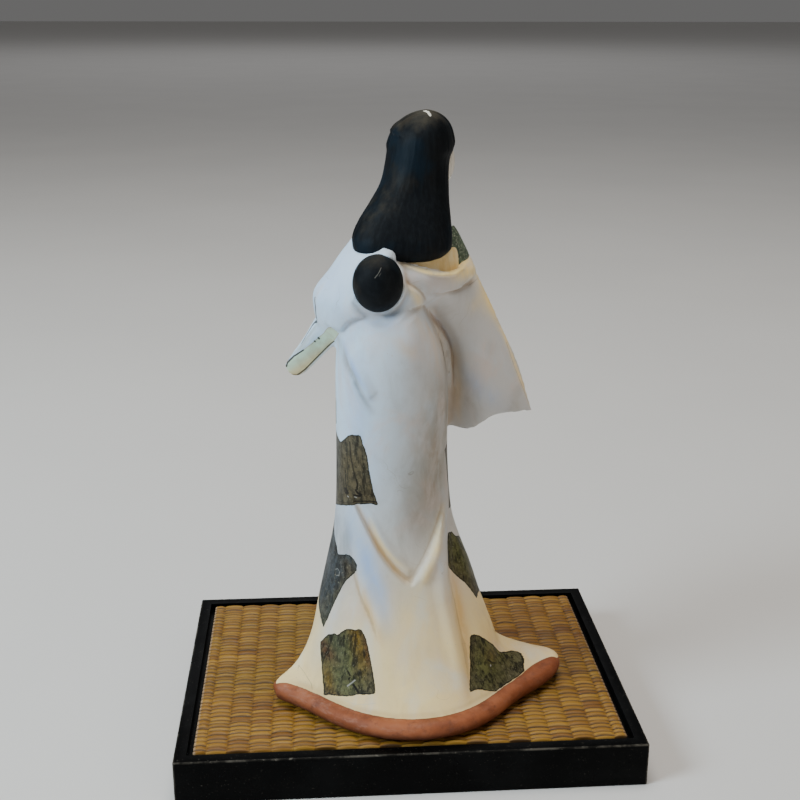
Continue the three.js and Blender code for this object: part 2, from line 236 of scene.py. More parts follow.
def baked(form: Form, name: str) -> bpy.types.Mesh:
    """Turn a form into a mesh that faces outwards.

    Args:
        form: the form, which is used up.
        name: the mesh's name.

    Returns:
        The mesh.
    """
    mesh = bpy.data.meshes.new(name)
    bmesh.ops.recalc_face_normals(form, faces=form.faces)
    form.to_mesh(mesh)
    form.free()
    return mesh


def linked(name: str, data: bpy.types.ID) -> bpy.types.Object:
    """Put a new object in the scene.

    Args:
        name: its name.
        data: its mesh, lamp or camera.

    Returns:
        The object.
    """
    thing = bpy.data.objects.new(name, data)
    bpy.context.scene.collection.objects.link(thing)
    return thing


def loft(around: int, rings: int, shape: Callable[[Array, Array, Array], Array]) -> Form:
    """Make a closed tube whose rings are placed by a shape function.

    Args:
        around: points in each ring.
        rings: bands between the two ends.
        shape: gives points for an angle, a rise from 0 to 1 and a reach, which is 0 at
            the middle of an end and 1 on the wall.

    Returns:
        The form.
    """
    form = bmesh.new()
    bmesh.ops.create_cone(
        form, cap_ends=True, cap_tris=True, segments=around, radius1=1, radius2=1, depth=1
    )
    walls = [e for e in form.edges if abs(e.verts[0].co.z - e.verts[1].co.z) > 0.5]
    bmesh.ops.subdivide_edges(form, edges=walls, cuts=rings - 1, use_grid_fill=True)

    def place(points: Array) -> Array:
        """Place the points of the unit tube.

        Args:
            points: the points, one row each.

        Returns:
            The shape's points.
        """
        reach = np.rint(np.hypot(points[:, 0], points[:, 1]))
        angle = np.where(reach > 0, np.arctan2(points[:, 1], points[:, 0]), 0.0)
        return shape(angle, points[:, 2] + 0.5, reach)

    return move_points(form, place)


def ball(around: int, rings: int, shape: Callable[[Array], Array]) -> Form:
    """Make a closed ball whose points are placed by a shape function.

    Args:
        around: points in each ring.
        rings: bands from pole to pole.
        shape: gives points for the directions from the ball's middle.

    Returns:
        The form.
    """
    form = bmesh.new()
    bmesh.ops.create_uvsphere(form, u_segments=around, v_segments=rings, radius=1)
    return move_points(form, shape)


def block(cuts: tuple[int, int, int], shape: Callable[[Array, Array, Array], Array]) -> Form:
    """Make a closed block whose points are placed by a shape function.

    Args:
        cuts: faces along each axis.
        shape: gives points for across, through and up, each from -1 to 1.

    Returns:
        The form.
    """
    form = bmesh.new()
    bmesh.ops.create_cube(form, size=2)
    for axis, count in enumerate(cuts):
        along = [e for e in form.edges if abs(e.verts[0].co[axis] - e.verts[1].co[axis]) > 1]
        bmesh.ops.subdivide_edges(form, edges=along, cuts=count - 1, use_grid_fill=True)
    return move_points(form, lambda points: shape(points[:, 0], points[:, 1], points[:, 2]))


def ellipsoid(centre: Point, radii: Point, around: int = 48, rings: int = 32) -> Form:
    """Make a ball with its own radius along each axis."""
    return ball(around, rings, lambda way: way * np.array(radii) + np.array(centre))


def limb(start: Point, start_radius: float, end: Point, end_radius: float) -> Form:
    """Make a rounded limb between two points.

    Args:
        start: middle of its first end.
        start_radius: its radius there.
        end: middle of its other end.
        end_radius: its radius there.

    Returns:
        The form.
    """
    axis = Vector(end) - Vector(start)
    turn = np.array(axis.to_track_quat("Z", "Y").to_matrix())

    def place(way: Array) -> Array:
        """Place the limb's points.

        Args:
            way: directions from its middle, one row each.

        Returns:
            The points, one row each.
        """
        at_end = way[:, 2:3] > 0
        radius = np.where(at_end, end_radius, start_radius)
        return np.where(at_end, np.array(end), np.array(start)) + (way * radius) @ turn.T

    return ball(32, 24, place)


@dataclass(frozen=True)
class Band:
    """A strap that follows a line in space, upright unless it leans.

    Attributes:
        path: the points that its middle follows.
        width: its width at shares of its length.
        thickness: its thickness at shares of its length.
        lean: how far its lower edge leans outwards, in degrees.
        edge: how squarely its section is cut, 2 for an oval.
        step: half of the share of its length over which its direction is read.
    """

    path: tuple[Point, ...]
    width: Profile
    thickness: Profile
    lean: float = 0.0
    edge: float = 2.6
    step: float = 1e-3

    def middle(self, share: Array) -> Array:
        """Return the middle line's points at shares of its length."""
        lines = [Profile(tuple(enumerate(axis))) for axis in zip(*self.path)]
        return np.stack([line(share * (len(self.path) - 1)) for line in lines], axis=1)

    def place(self, angle: Array, rise: Array, reach: Array) -> Array:
        """Return the strap's points.

        Args:
            angle: angles round its section.
            rise: shares of its length.
            reach: 0 in the middle of an end, 1 on the outside.

        Returns:
            The points, one row each.
        """
        ahead = self.middle(clamp01(rise + self.step)) - self.middle(clamp01(rise - self.step))
        ahead /= np.linalg.norm(ahead, axis=1, keepdims=True)
        outward = np.cross(ahead, [0.0, 0.0, 1.0])
        outward /= np.linalg.norm(outward, axis=1, keepdims=True)
        upward = np.cross(outward, ahead)
        scale = squareness(np.cos(angle), np.sin(angle), self.edge) * reach
        side = np.cos(angle) * scale * self.thickness(rise) / 2
        height = np.sin(angle) * scale * self.width(rise) / 2
        side = side - height * math.tan(math.radians(self.lean))
        return self.middle(rise) + outward * side[:, None] + upward * height[:, None]

    def form(self, steps: int) -> Form:
        """Return the strap as a closed form with a number of rings."""
        return loft(24, steps, self.place)


class Lumps:
    """Closed forms in grid parts that are gathered and cast as one body."""

    def __init__(self, *forms: Form) -> None:
        """Start with some forms."""
        self.all = bmesh.new()
        self.add(*forms)

    def add(self, *forms: Form) -> None:
        """Add forms.

        Args:
            forms: the forms, which are used up.
        """
        for form in forms:
            carrier = baked(form, "form")
            self.all.from_mesh(carrier)
            bpy.data.meshes.remove(carrier)

    def mesh(self, name: str) -> bpy.types.Mesh:
        """Return the forms side by side as one mesh."""
        return baked(self.all, name)

    def cast(self, name: str, grain: float) -> bpy.types.Mesh:
        """Melt the forms into one closed skin, with faces of a size in grid parts."""
        return melted(self.mesh(name), name, "REMESH", mode="VOXEL", voxel_size=grain)


def melted(mesh: bpy.types.Mesh, name: str, kind: str, **settings: object) -> bpy.types.Mesh:
    """Apply one modifier to a mesh.

    Args:
        mesh: the mesh to change, which is used up.
        name: the new mesh's name.
        kind: Blender's word for the modifier.
        settings: the modifier's settings.

    Returns:
        The changed mesh.
    """
    carrier = linked(name, mesh)
    modifier = carrier.modifiers.new(kind.lower(), kind)
    for setting, value in settings.items():
        setattr(modifier, setting, value)
    bpy.context.view_layer.update()
    graph = bpy.context.evaluated_depsgraph_get()
    changed = bpy.data.meshes.new_from_object(carrier.evaluated_get(graph))
    bpy.data.objects.remove(carrier)
    bpy.data.meshes.remove(mesh)
    changed.name = name
    return changed


def refined(mesh: bpy.types.Mesh, chosen: Callable[["Skin"], Array]) -> bpy.types.Mesh:
    """Halve the faces of a mesh where all of their points are chosen.

    Args:
        mesh: the mesh, which is changed.
        chosen: tells which points of a skin are chosen.

    Returns:
        The same mesh.
    """
    picked = chosen(Skin(mesh))
    form = bmesh.new()
    form.from_mesh(mesh)
    ends = [[picked[end.index] for end in edge.verts] for edge in form.edges]
    edges = [edge for edge, chosen_ends in zip(form.edges, ends) if all(chosen_ends)]
    bmesh.ops.subdivide_edges(form, edges=edges, cuts=1, use_grid_fill=True)
    form.to_mesh(mesh)
    form.free()
    return mesh


class Skin:
    """The points and edges of a mesh as arrays, for working its surface by rule."""

    def __init__(self, mesh: bpy.types.Mesh) -> None:
        """Read a mesh.

        Args:
            mesh: the mesh to work on.
        """
        self.mesh = mesh
        flat = np.empty(len(mesh.vertices) * 3, np.float32)
        mesh.vertices.foreach_get("co", flat)
        self.points = flat.reshape(-1, 3).astype(float)
        ends = np.empty(len(mesh.edges) * 2, np.int32)
        mesh.edges.foreach_get("vertices", ends)
        self.starts, self.ends = ends.reshape(-1, 2).T
        self.count = len(self.points)
        joined = np.r_[self.starts, self.ends]
        self.neighbours = np.maximum(np.bincount(joined, minlength=self.count), 1)

    @property
    def x(self) -> Array:
        """How far each point lies to her left."""
        return self.points[:, 0]

    @property
    def y(self) -> Array:
        """How far each point lies to her back."""
        return self.points[:, 1]

    @property
    def z(self) -> Array:
        """How high each point lies."""
        return self.points[:, 2]

    def around(self, values: Array) -> Array:
        """Return the mean of each point's neighbours."""
        sums = np.bincount(self.starts, values[self.ends], self.count)
        return (sums + np.bincount(self.ends, values[self.starts], self.count)) / self.neighbours

    def relax(self, share: Array | float, rounds: int) -> None:
        """Draw each point towards the mean of its neighbours.

        Args:
            share: how strongly, from 0 to 1, for all points or each point.
            rounds: how many times.
        """
        for _ in range(rounds):
            for axis in range(3):
                values = self.points[:, axis]
                self.points[:, axis] = values + (self.around(values) - values) * share

    def blurred(self, values: Array, rounds: int) -> Array:
        """Return values spread over their neighbours.

        Args:
            values: a value for each point.
            rounds: how many times they are spread.

        Returns:
            The spread values.
        """
        for _ in range(rounds):
            values = (values + self.around(values)) / 2
        return values

    def normals(self) -> Array:
        """Save the points, and read the direction that each point faces.

        Returns:
            The directions, one row each.
        """
        self.save()
        flat = np.empty(self.count * 3, np.float32)
        self.mesh.vertex_normals.foreach_get("vector", flat)
        return flat.reshape(-1, 3).astype(float)

    def hollows(self, reach: int) -> Array:
        """Return how far each point lies below its surroundings, negative on a ridge.

        Args:
            reach: how many neighbours away the surroundings are read.

        Returns:
            The depth, in the unit of the points.
        """
        means = [self.blurred(self.points[:, axis], reach) for axis in range(3)]
        away = np.stack(means, axis=1) - self.points
        return np.einsum("ij,ij->i", away, self.normals())

    def save(self) -> None:
        """Write the points back to the mesh."""
        self.mesh.vertices.foreach_set("co", self.points.astype(np.float32).ravel())
        self.mesh.update()

    def keep(self, name: str, values: Array) -> None:
        """Store one value for each point under a name, for a material to read."""
        attribute = self.mesh.attributes.new(name, "FLOAT", "POINT")
        attribute.data.foreach_set("value", values.astype(np.float32))


# Finishes


class Tone:
    """A value, colour or direction over the surface, which takes plain arithmetic."""

    def __init__(self, bench: "Bench", socket: Socket) -> None:
        """Hold a socket of a bench."""
        self.bench, self.socket = bench, socket

    def __add__(self, other: object) -> "Tone":
        """Return the sum with a tone or a number."""
        return self.bench.sum("ADD", self, other)

    def __sub__(self, other: object) -> "Tone":
        """Return the difference from a tone or a number."""
        return self.bench.sum("SUBTRACT", self, other)

    def __mul__(self, other: object) -> "Tone":
        """Return the product with a tone or a number."""
        return self.bench.sum("MULTIPLY", self, other)

    def highest(self, other: object) -> "Tone":
        """Return the higher of two values."""
        return self.bench.sum("MAXIMUM", self, other)

    def lowest(self, other: object) -> "Tone":
        """Return the lower of two values."""
        return self.bench.sum("MINIMUM", self, other)

    def size(self) -> "Tone":
        """Return the value without its sign."""
        return self.bench.sum("ABSOLUTE", self)

    def fade(self, low: float, high: float, start: float = 0, end: float = 1) -> "Tone":
        """Return a soft step from start to end as the value goes from low to high."""
        inputs = dict(enumerate((self, low, high, start, end)))
        return self.bench.node("ShaderNodeMapRange", 0, inputs, interpolation_type="SMOOTHSTEP")

    def held(self) -> "Tone":
        """Return the value held between 0 and 1."""
        return self.bench.node("ShaderNodeClamp", 0, {"Value": self})


class Bench:
    """Lays out the nodes of one material."""

    def __init__(self, name: str) -> None:
        """Start a material.

        Args:
            name: the material's name.
        """
        self.material = bpy.data.materials.new(name)
        self.material.use_nodes = True
        self.tree = self.material.node_tree
        self.shader = self.tree.nodes["Principled BSDF"]
        self.place = self.node("ShaderNodeTexCoord", "Object", {})

    def node(
        self, kind: str, output: int | str, inputs: dict[int | str, object], **settings: object
    ) -> Tone:
        """Add a node.

        Args:
            kind: Blender's word for it.
            output: which of its outputs to return.
            inputs: tones and plain values for its inputs.
            settings: its settings.

        Returns:
            The output.
        """
        node = self.tree.nodes.new(kind)
        for setting, value in settings.items():
            setattr(node, setting, value)
        for key, value in inputs.items():
            self.feed(value, node.inputs[key])
        return Tone(self, node.outputs[output])

    def feed(self, value: object, target: Socket) -> None:
        """Link a tone to a socket, or set the socket's own value.

        Args:
            value: the tone or the plain value.
            target: the socket.
        """
        if isinstance(value, Tone):
            self.tree.links.new(value.socket, target)
        elif isinstance(value, tuple) and len(value) == 3 and target.type == "RGBA":
            target.default_value = (*value, 1.0)
        else:
            target.default_value = value

    def sum(self, kind: str, first: object, second: object = 0.0) -> Tone:
        """Return a sum of two values, where kind is Blender's word for it."""
        return self.node("ShaderNodeMath", 0, {0: first, 1: second}, operation=kind)

    def vector(self, kind: str, first: object, second: object = (0.0, 0.0, 0.0)) -> Tone:
        """Work out a vector operation.

        Args:
            kind: Blender's word for it.
            first: the first vector.
            second: the second vector, or the number that scales the first.

        Returns:
            The vector or number.
        """
        inputs = {0: first, "Scale" if kind == "SCALE" else 1: second}
        output = "Value" if kind in ("DOT_PRODUCT", "LENGTH") else "Vector"
        return self.node("ShaderNodeVectorMath", output, inputs, operation=kind)

    def blend(self, share: object, first: object, second: object, kind: str = "MIX") -> Tone:
        """Return a colour between two colours."""
        inputs = {0: share, 6: first, 7: second}
        return self.node("ShaderNodeMix", 2, inputs, data_type="RGBA", blend_type=kind)

    def stretched(self, scale: Point | float) -> Tone:
        """Return the place on the piece, scaled evenly or along each axis."""
        scales = scale if isinstance(scale, tuple) else (scale, scale, scale)
        return self.node("ShaderNodeMapping", 0, {"Scale": scales, "Vector": self.place})

    def noise(
        self, scale: Point | float, detail: float = 4.0, rough: float = 0.55, bend: float = 0.0
    ) -> Tone:
        """Make a cloudy value around 0.5.

        Args:
            scale: marks a metre, evenly or along each axis.
            detail: how many finer clouds are added.
            rough: how strong the finer clouds are.
            bend: how far the clouds are drawn out of shape.

        Returns:
            The value.
        """
        inputs = {"Vector": self.stretched(scale), "Scale": 1.0, "Detail": detail,
                  "Roughness": rough, "Distortion": bend}
        return self.node("ShaderNodeTexNoise", 0, inputs)

    def cells(self, scale: float) -> Tone:
        """Return the distance to scattered seeds, with a scale in seeds a metre."""
        inputs = {"Vector": self.stretched(scale), "Scale": 1.0}
        return self.node("ShaderNodeTexVoronoi", "Distance", inputs)

    def value(self, name: str) -> Tone:
        """Return a value that was kept on the piece's points."""
        return self.node("ShaderNodeAttribute", "Fac", {}, attribute_name=name)

    def axes(self, source: Tone | None = None) -> list[Tone]:
        """Return the three parts of a vector, by default of the place on the piece."""
        first = self.node("ShaderNodeSeparateXYZ", 0, {0: source or self.place})
        return [Tone(self, output) for output in first.socket.node.outputs]

    def upward(self) -> Tone:
        """Return how far the surface faces up."""
        return self.axes(self.node("ShaderNodeNewGeometry", "Normal", {}))[2]

    def relief(self, height: Tone, strength: float, depth: float) -> Tone:
        """Return the shading direction over relief of 0 to 1, its depth given in metres."""
        inputs = {"Strength": strength, "Distance": depth, "Height": height}
        return self.node("ShaderNodeBump", 0, inputs)

    def finish(self, **inputs: object) -> bpy.types.Material:
        """Set the shader's inputs.

        Args:
            inputs: their values, named with underscores.

        Returns:
            The material.
        """
        for name, value in inputs.items():
            title = name.replace("_", " ").title().replace("Ior", "IOR")
            self.feed(value, self.shader.inputs[title])
        return self.material


class Coat:
    """A colour that is built up in layers."""

    def __init__(self, bench: Bench, colour: object) -> None:
        """Start with one colour."""
        self.bench, self.colour = bench, colour

    def lay(self, share: object, paint: object, kind: str = "MIX") -> "Coat":
        """Lay a colour over a share of the coat, and return the same coat."""
        self.colour = self.bench.blend(share, self.colour, paint, kind)
        return self

    def stain(
        self, paint: Colour, share: float, levels: tuple[float, float], *grain: object,
        kind: str = "MIX",
    ) -> "Coat":
        """Lay stains that start and are full at two levels of a cloud, and return the coat."""
        return self.lay(self.bench.noise(*grain).fade(*levels) * share, paint, kind)


class Part(IntEnum):
    """The parts of the figure that have a finish of their own, in order of their slots."""

    ROBE = 0
    HAIR = 1
    SKIN = 2
    COLLAR = 3
    LINING = 4
    CHILD = 5


@dataclass(frozen=True)
class Stroke:
    """A thin painted or scraped line on the back of the figure, in grid parts.

    Attributes:
        line: its middle, across and up.
        half: half of its width.
        strength: how strong it is, at most 1.
        depths: how far back each of its corners lies, where nothing means that it is
            drawn straight onto the back.
    """

    line: Line
    half: float
    strength: float = 1.0
    depths: tuple[float, ...] = ()

    def corners(self) -> list[Vector]:
        """Return its corners, with no depth where it is drawn straight onto the back."""
        depths = self.depths or (0.0,) * len(self.line)
        return [Vector((x, y, z)) for (x, z), y in zip(self.line, depths)]

    def mark(self, bench: Bench, place: Tone, wobble: Tone) -> Tone:
        """Make the mask of the stroke.

        Args:
            bench: the material's bench.
            place: where the surface is in grid parts, flat or with its depth.
            wobble: small changes of the line's width.

        Returns:
            The stroke's strength, 0 off the stroke.
        """
        gaps = []
        corners = self.corners()
        for start, end in zip(corners, corners[1:]):
            along = end - start
            away = bench.vector("SUBTRACT", place, tuple(start))
            share = bench.vector("DOT_PRODUCT", away, tuple(along / along.length_squared))
            reach = bench.vector("SCALE", tuple(along), share.held())
            gaps.append(bench.vector("LENGTH", bench.vector("SUBTRACT", away, reach)))
        inside = reduce(Tone.lowest, gaps) * -1 + (wobble + self.half)
        return inside.fade(-0.06, 0.10, 0, self.strength)


@dataclass(frozen=True)
class Strokes:
    """Strokes of one kind, on the part of the figure that is not far in front.

    Attributes:
        scale: metres in one grid part.
        foot: height of the grid's foot in metres.
        strokes: the strokes.
        ragged: how much their width changes, in grid parts.
        front: how far back in metres the flat strokes begin.
        front_fade: over how many metres they begin.
    """

    scale: float
    foot: float
    strokes: tuple[Stroke, ...]
    ragged: float = 0.3
    front: float = 0.003
    front_fade: float = 0.001

    def mask(self, bench: Bench) -> Tone:
        """Make the mask of all strokes.

        Args:
            bench: the material's bench.

        Returns:
            Their strength, 0 off the strokes.
        """
        place = bench.vector("SUBTRACT", bench.place, (0, 0, self.foot))
        place = bench.vector("SCALE", place, 1 / self.scale)
        flat = bench.vector("MULTIPLY", place, (1, 0, 1))
        behind = bench.axes()[1].fade(self.front, self.front + self.front_fade)
        wobble = (bench.noise(700, 3) - 0.5) * self.ragged
        marks = []
        for stroke in self.strokes:
            mark = stroke.mark(bench, place if stroke.depths else flat, wobble)
            marks.append(mark if stroke.depths else mark * behind)
        return reduce(Tone.highest, marks)


DARK_STROKES: tuple[Stroke, ...] = (
    Stroke(((45.2, 218), (44.9, 214.2), (44.8, 210.5), (44.5, 208), (44.2, 206.1)),
           0.95, 0.95, (19.6, 20.2, 18, 16.6, 14.5)),
    Stroke(((44.2, 206.1), (44.1, 203.6), (44.3, 201.6)), 0.35, 0.6, (14.5, 8, 1)),
    Stroke(((44.3, 201.6), (45.1, 200.4), (46.7, 197.9), (48.5, 195.6), (50.3, 192.7), (52, 190)),
           0.95, 0.95, (1, -2.5, -3.6, -3, -2, 0.5)),
    Stroke(((60.4, 179.3), (59.6, 181.6), (56.2, 185), (51.4, 188.2)), 0.42),
    Stroke(((35.2, 193.6), (40.4, 188.4), (45.6, 183.2), (50.8, 177.9), (54.7, 175)), 0.40, 0.9),
    Stroke(((54.7, 175), (58, 175.2)), 0.24, 0.7),
    Stroke(((58, 17.9), (57.6, 19.3), (55, 17.7), (51, 13.8), (50.6, 11.8)), 0.16, 0.40),
    Stroke(((45.6, 192.9), (45.3, 192.6)), 0.46),
    Stroke(((43.6, 194.6), (43.2, 194.2)), 0.52),
    Stroke(((47.4, 190.8), (42.4, 196)), 0.10, 0.6),
    Stroke(((-53.3, 190), (-58.2, 176), (-63.6, 163), (-66.4, 156.6)), 0.13, 0.4),
    # Painted shadow: a thin dark line in the crease under the corner of the collar.
    Stroke(((-32.3, 221.7), (-35.3, 222.6), (-37.6, 223.8)), 0.14, 0.45),
    Stroke(((38, 105), (37.1, 107.6), (33.2, 111), (26.5, 114.4)), 0.20, 0.75),
    Stroke(((26.5, 114.4), (22, 115.7), (18.9, 116.3), (16.2, 116.2)), 0.36),
    Stroke(((31.4, 130), (31.2, 124.7), (30.7, 119.8)), 0.26, 0.9),
    Stroke(((31.2, 119.8), (30.4, 118.4), (30.9, 117.6)), 0.70),
    Stroke(((25.8, 127.4), (25.4, 125), (25.6, 122)), 0.42),
    Stroke(((26.2, 121.2), (25.2, 119.8), (23.6, 119.4), (24.6, 118.2), (27, 118)), 0.62),
    Stroke(((29, 147.5), (28.5, 139), (27.6, 134), (26.3, 128)), 0.42, 0.75),
    Stroke(((33, 145), (32.4, 128), (32, 116)), 0.14, 0.6),
    Stroke(((24, 142), (22.8, 131), (22, 120)), 0.14, 0.6),
    Stroke(((30.4, 146), (30, 136), (29.4, 124)), 0.12, 0.5),
    Stroke(((20.4, 134), (18.9, 125), (17.4, 117.4)), 0.20, 0.8),
    Stroke(((29, 20.4), (27.6, 19), (26.8, 17.8)), 0.62),
    Stroke(((31.8, 26), (30.8, 24.4)), 0.45),
    Stroke(((30.6, 23.4), (31.6, 22.4)), 0.3),
    Stroke(((-43, 24.6), (-45.4, 22), (-47.4, 20.8)), 0.34, 0.8),
)
PALE_STROKES: tuple[Stroke, ...] = (
    Stroke(((32.2, 19.2), (29.9, 21.2), (28.2, 22.8)), 0.32, 0.6),
    Stroke(((30.2, 116.3), (30.0, 116.2)), 0.32, 0.7),
    Stroke(((26.7, 117.0), (25.9, 116.9)), 0.34, 0.6),
    Stroke(((37.0, 74.2), (36.0, 75.2), (35.0, 74.2), (35.4, 72.2), (36.6, 71.6)), 0.17, 0.4),
    Stroke(((-44.4, 21.6), (-44.5, 21.3)), 0.34),
    Stroke(((34, 12.6), (28, 12.4), (22, 13.6), (18, 14.6)), 0.22, 0.25),
)
HEAD_STROKES: tuple[Stroke, ...] = (
    Stroke(((16.9, 235.0), (15.5, 236.6), (14.4, 238.2), (13.8, 239.4)), 0.13, 0.20),
    Stroke(((14.9, 235.8), (13.9, 237.2)), 0.09, 0.10),
    Stroke(((-9.6, 307), (-10.8, 306.7), (-11.8, 306), (-12.3, 305.2)), 0.40, 1.0),
    Stroke(((-11.6, 306.2), (-12.2, 305.4)), 0.60, 1.0),
)


class Tint(Enum):
    """The soft bands of colour on the white paint, painted light and shade among them, by the name of
    their attribute.
    """

    # Painted cool light and bluish highlights.
    COOL = "cool"
    # Painted warm light and highlights, over some cream paint.
    CREAM = "cream"
    SHADE = "shade"
    # Tan stains in the folds, and one band of painted shade beside the crease.
    TAN = "tan"
    # Painted shade in the creases.
    GRIME = "grime"
    # Painted cool light on the patches on her left side.
    SLATE = "slate"
    OLIVE = "olive"
    GILT = "gilt"
    RUST = "rust"


@dataclass(frozen=True)
class RobePaint:
    """White paint over clay, cream low down, with painted dark patches and painted light and shade.

    Attributes:
        dark: the dark lines on the paint.
        pale: the scraped lines.
        cool: colour of the painted cool light high on her left back, also of random stains.
        plain: colour of the sleeve and the middle.
        cream: colour low down, of aged yellow paint and painted warm light.
        grime: brown of painted shade in creases, of darker hollows, and of marks on the lining.
        clay: colour where paint has worn away.
        cream_height: height in metres below which the paint is cream.
        cool_height: height in metres above which the painted cool light is laid.
    """

    dark: Strokes
    pale: Strokes
    cool: Colour = (0.62, 0.79, 0.96)
    plain: Colour = (0.62, 0.615, 0.61)
    cream: Colour = (0.88, 0.68, 0.34)
    cool_light_blue: Colour = (0.40, 0.56, 0.84)
    warm_light_and_cream: Colour = (1.0, 0.78, 0.36)
    dim: Colour = (0.56, 0.52, 0.45)
    tan: Colour = (0.78, 0.50, 0.18)
    rose: Colour = (0.74, 0.58, 0.50)
    grime: Colour = (0.36, 0.22, 0.095)
    clay: Colour = (0.50, 0.42, 0.32)
    cream_height: float = 0.075
    cool_height: float = 0.150
    patch_dark: Colour = (0.010, 0.010, 0.008)
    patch_taupe: Colour = (0.125, 0.108, 0.068)
    patch_bronze: Colour = (0.105, 0.082, 0.042)
    patch_cool_light: Colour = (0.052, 0.062, 0.070)
    patch_olive: Colour = (0.135, 0.140, 0.050)
    patch_gilt: Colour = (0.215, 0.130, 0.020)
    patch_rust: Colour = (0.120, 0.042, 0.020)
    patch_fleck: Colour = (0.40, 0.37, 0.25)
    hem: Colour = (0.225, 0.060, 0.020)
    hem_light: Colour = (0.340, 0.105, 0.040)
    hem_dark: Colour = (0.070, 0.022, 0.014)
    hem_pink: Colour = (0.36, 0.19, 0.135)
    hem_bare: Colour = (0.66, 0.56, 0.44)
    lining: Colour = (0.56, 0.72, 0.56)
    lining_warm_reflection: Colour = (0.70, 0.60, 0.34)
    line: Colour = (0.012, 0.010, 0.008)
    scraped: Colour = (0.50, 0.49, 0.46)

    def ground(self, bench: Bench) -> Coat:
        """Lay the white paint with its age, its painted light and its painted shade.

        Args:
            bench: the material's bench.

        Returns:
            The coat.
        """
        across, _, height = bench.axes()
        drift = (bench.noise((14, 14, 10), 3) - 0.5) * 0.06
        # Cream low down, of aged paint and painted warm light, and painted cool light high on her left.
        low = (height + drift).fade(self.cream_height - 0.03, self.cream_height + 0.055, 1, 0)
        left = across.fade(-0.020, 0.030)
        high = height.fade(self.cool_height - 0.07, self.cool_height + 0.04) * left
        coat = Coat(bench, self.plain).lay(low, self.cream).lay(high * 0.9, self.cool)
        coat.stain(self.clay, 0.22, (0.46, 0.72), (70, 70, 45), 6, 0.62, 0.6, kind="MULTIPLY")
        coat.stain(self.rose, 0.35, (0.50, 0.68), (34, 34, 22), 4, 0.6, 0.8)
        coat.stain(self.cool, 0.35, (0.52, 0.72), (29, 29, 17), 4, 0.6, 0.8)
        patchy = bench.noise((85, 85, 40), 5, 0.62, 0.5).fade(0.30, 0.66, 0.45, 1.15)
        streaks = bench.noise((190, 190, 36), 5, 0.62).fade(0.28, 0.66, 0.35, 1.1)
        # Bands of painted cool light, painted warm light over cream paint, painted shade, tan stains and
        # painted shade in the creases.
        for tint, paint, share, broken, kind in (
            (Tint.COOL, self.cool_light_blue, 0.80, patchy, "MIX"),
            (Tint.CREAM, self.warm_light_and_cream, 0.72, patchy, "MIX"),
            (Tint.SHADE, self.dim, 0.85, patchy, "MULTIPLY"),
            (Tint.TAN, self.tan, 0.72, streaks, "MIX"),
            (Tint.GRIME, self.grime, 0.85, streaks, "MIX"),
        ):
            coat.lay((bench.value(tint.value) * broken * share).held(), paint, kind)
        # Darker brown in the hollows of the surface, less of it high on her left.
        hollow = bench.value("hollow").fade(0.02, 0.34) * high.fade(0, 1, 0.38, 0.08)
        coat.lay(hollow, self.grime)
        specks = bench.cells(520).fade(0.10, 0.20, 1, 0) * bench.noise(60, 2).fade(0.58, 0.66)
        return coat.lay(specks * 0.45, self.clay)

    def scratches(self, bench: Bench) -> Tone:
        """Return thin hair-like scratches, 1 on a scratch."""
        line = (bench.noise(26, 2, 0.5, 1.4) - 0.5).size()
        return line.fade(0.0, 0.0028, 1, 0) * bench.noise(31, 1).fade(0.56, 0.62)

    def patches(self, bench: Bench) -> tuple[Tone, Tone]:
        """Lay the dark patches.

        Args:
            bench: the material's bench.

        Returns:
            Their colour and where they are, 1 on a patch.
        """
        depth = bench.value("patch") + (bench.noise(420, 5, 0.65) - 0.5) * 1.3
        streaks = bench.noise((480, 480, 40), 5, 0.66, 0.3)
        cloud = bench.noise((95, 95, 60), 4, 0.6, 0.4)
        coat = Coat(bench, self.patch_taupe)
        coat.stain(self.patch_bronze, 0.7, (0.42, 0.60), (60, 60, 42), 3)
        # The bluish tint on the patches on her left side is painted cool light; olive, rust and gilt are
        # their own colours.
        for tint, paint, share in (
            (Tint.OLIVE, self.patch_olive, 0.95),
            (Tint.SLATE, self.patch_cool_light, 0.95),
            (Tint.RUST, self.patch_rust, 0.85),
            (Tint.GILT, self.patch_gilt, 0.90),
        ):
            broken = bench.noise((210, 210, 110), 4, 0.65, 0.4).fade(0.30, 0.60, 0.55, 1.1)
            coat.lay((bench.value(tint.value) * (broken * share)).held(), paint)
        worn = (streaks + (cloud - 0.5) * 0.5).fade(0.33, 0.53)
        coat.lay(worn.fade(0, 1, 0.80, 0), self.patch_dark)
        coat.lay(bench.noise((330, 330, 260), 4, 0.7).fade(0.40, 0.58, 0.55, 0), self.patch_dark)
        coat.stain(self.patch_fleck, 0.40, (0.60, 0.70), (1050, 1050, 800), 3, 0.7)
        pits = bench.noise((640, 640, 420), 4, 0.72).fade(0.30, 0.40, 1, 0)
        coat.lay(pits * 0.85, self.line)
        coat.lay(depth.fade(0.30, 0.80, 1, 0) * 0.85, self.patch_dark)
        return coat.colour, depth.fade(-0.12, 0.12)

    def hem_paint(self, bench: Bench) -> tuple[Tone, Tone]:
        """Lay the red-brown of the hem, with painted shade on its underside.

        Args:
            bench: the material's bench.

        Returns:
            Its colour and where it is, 1 on the hem.
        """
        depth = bench.value("hem") + (bench.noise(260) - 0.5) * 0.5
        cloud = bench.noise(60, 5, 0.6)
        coat = Coat(bench, self.hem).lay(cloud.fade(0.36, 0.66), self.hem_light)
        coat.stain(self.hem_dark, 0.45, (0.50, 0.70), (150, 150, 220), 5, 0.65)
        rubbed = bench.noise((120, 120, 420), 5, 0.7).fade(0.48, 0.70)
        coat.lay(rubbed * bench.axes()[0].fade(-0.02, 0.06, 0.15, 0.6), self.hem_pink)
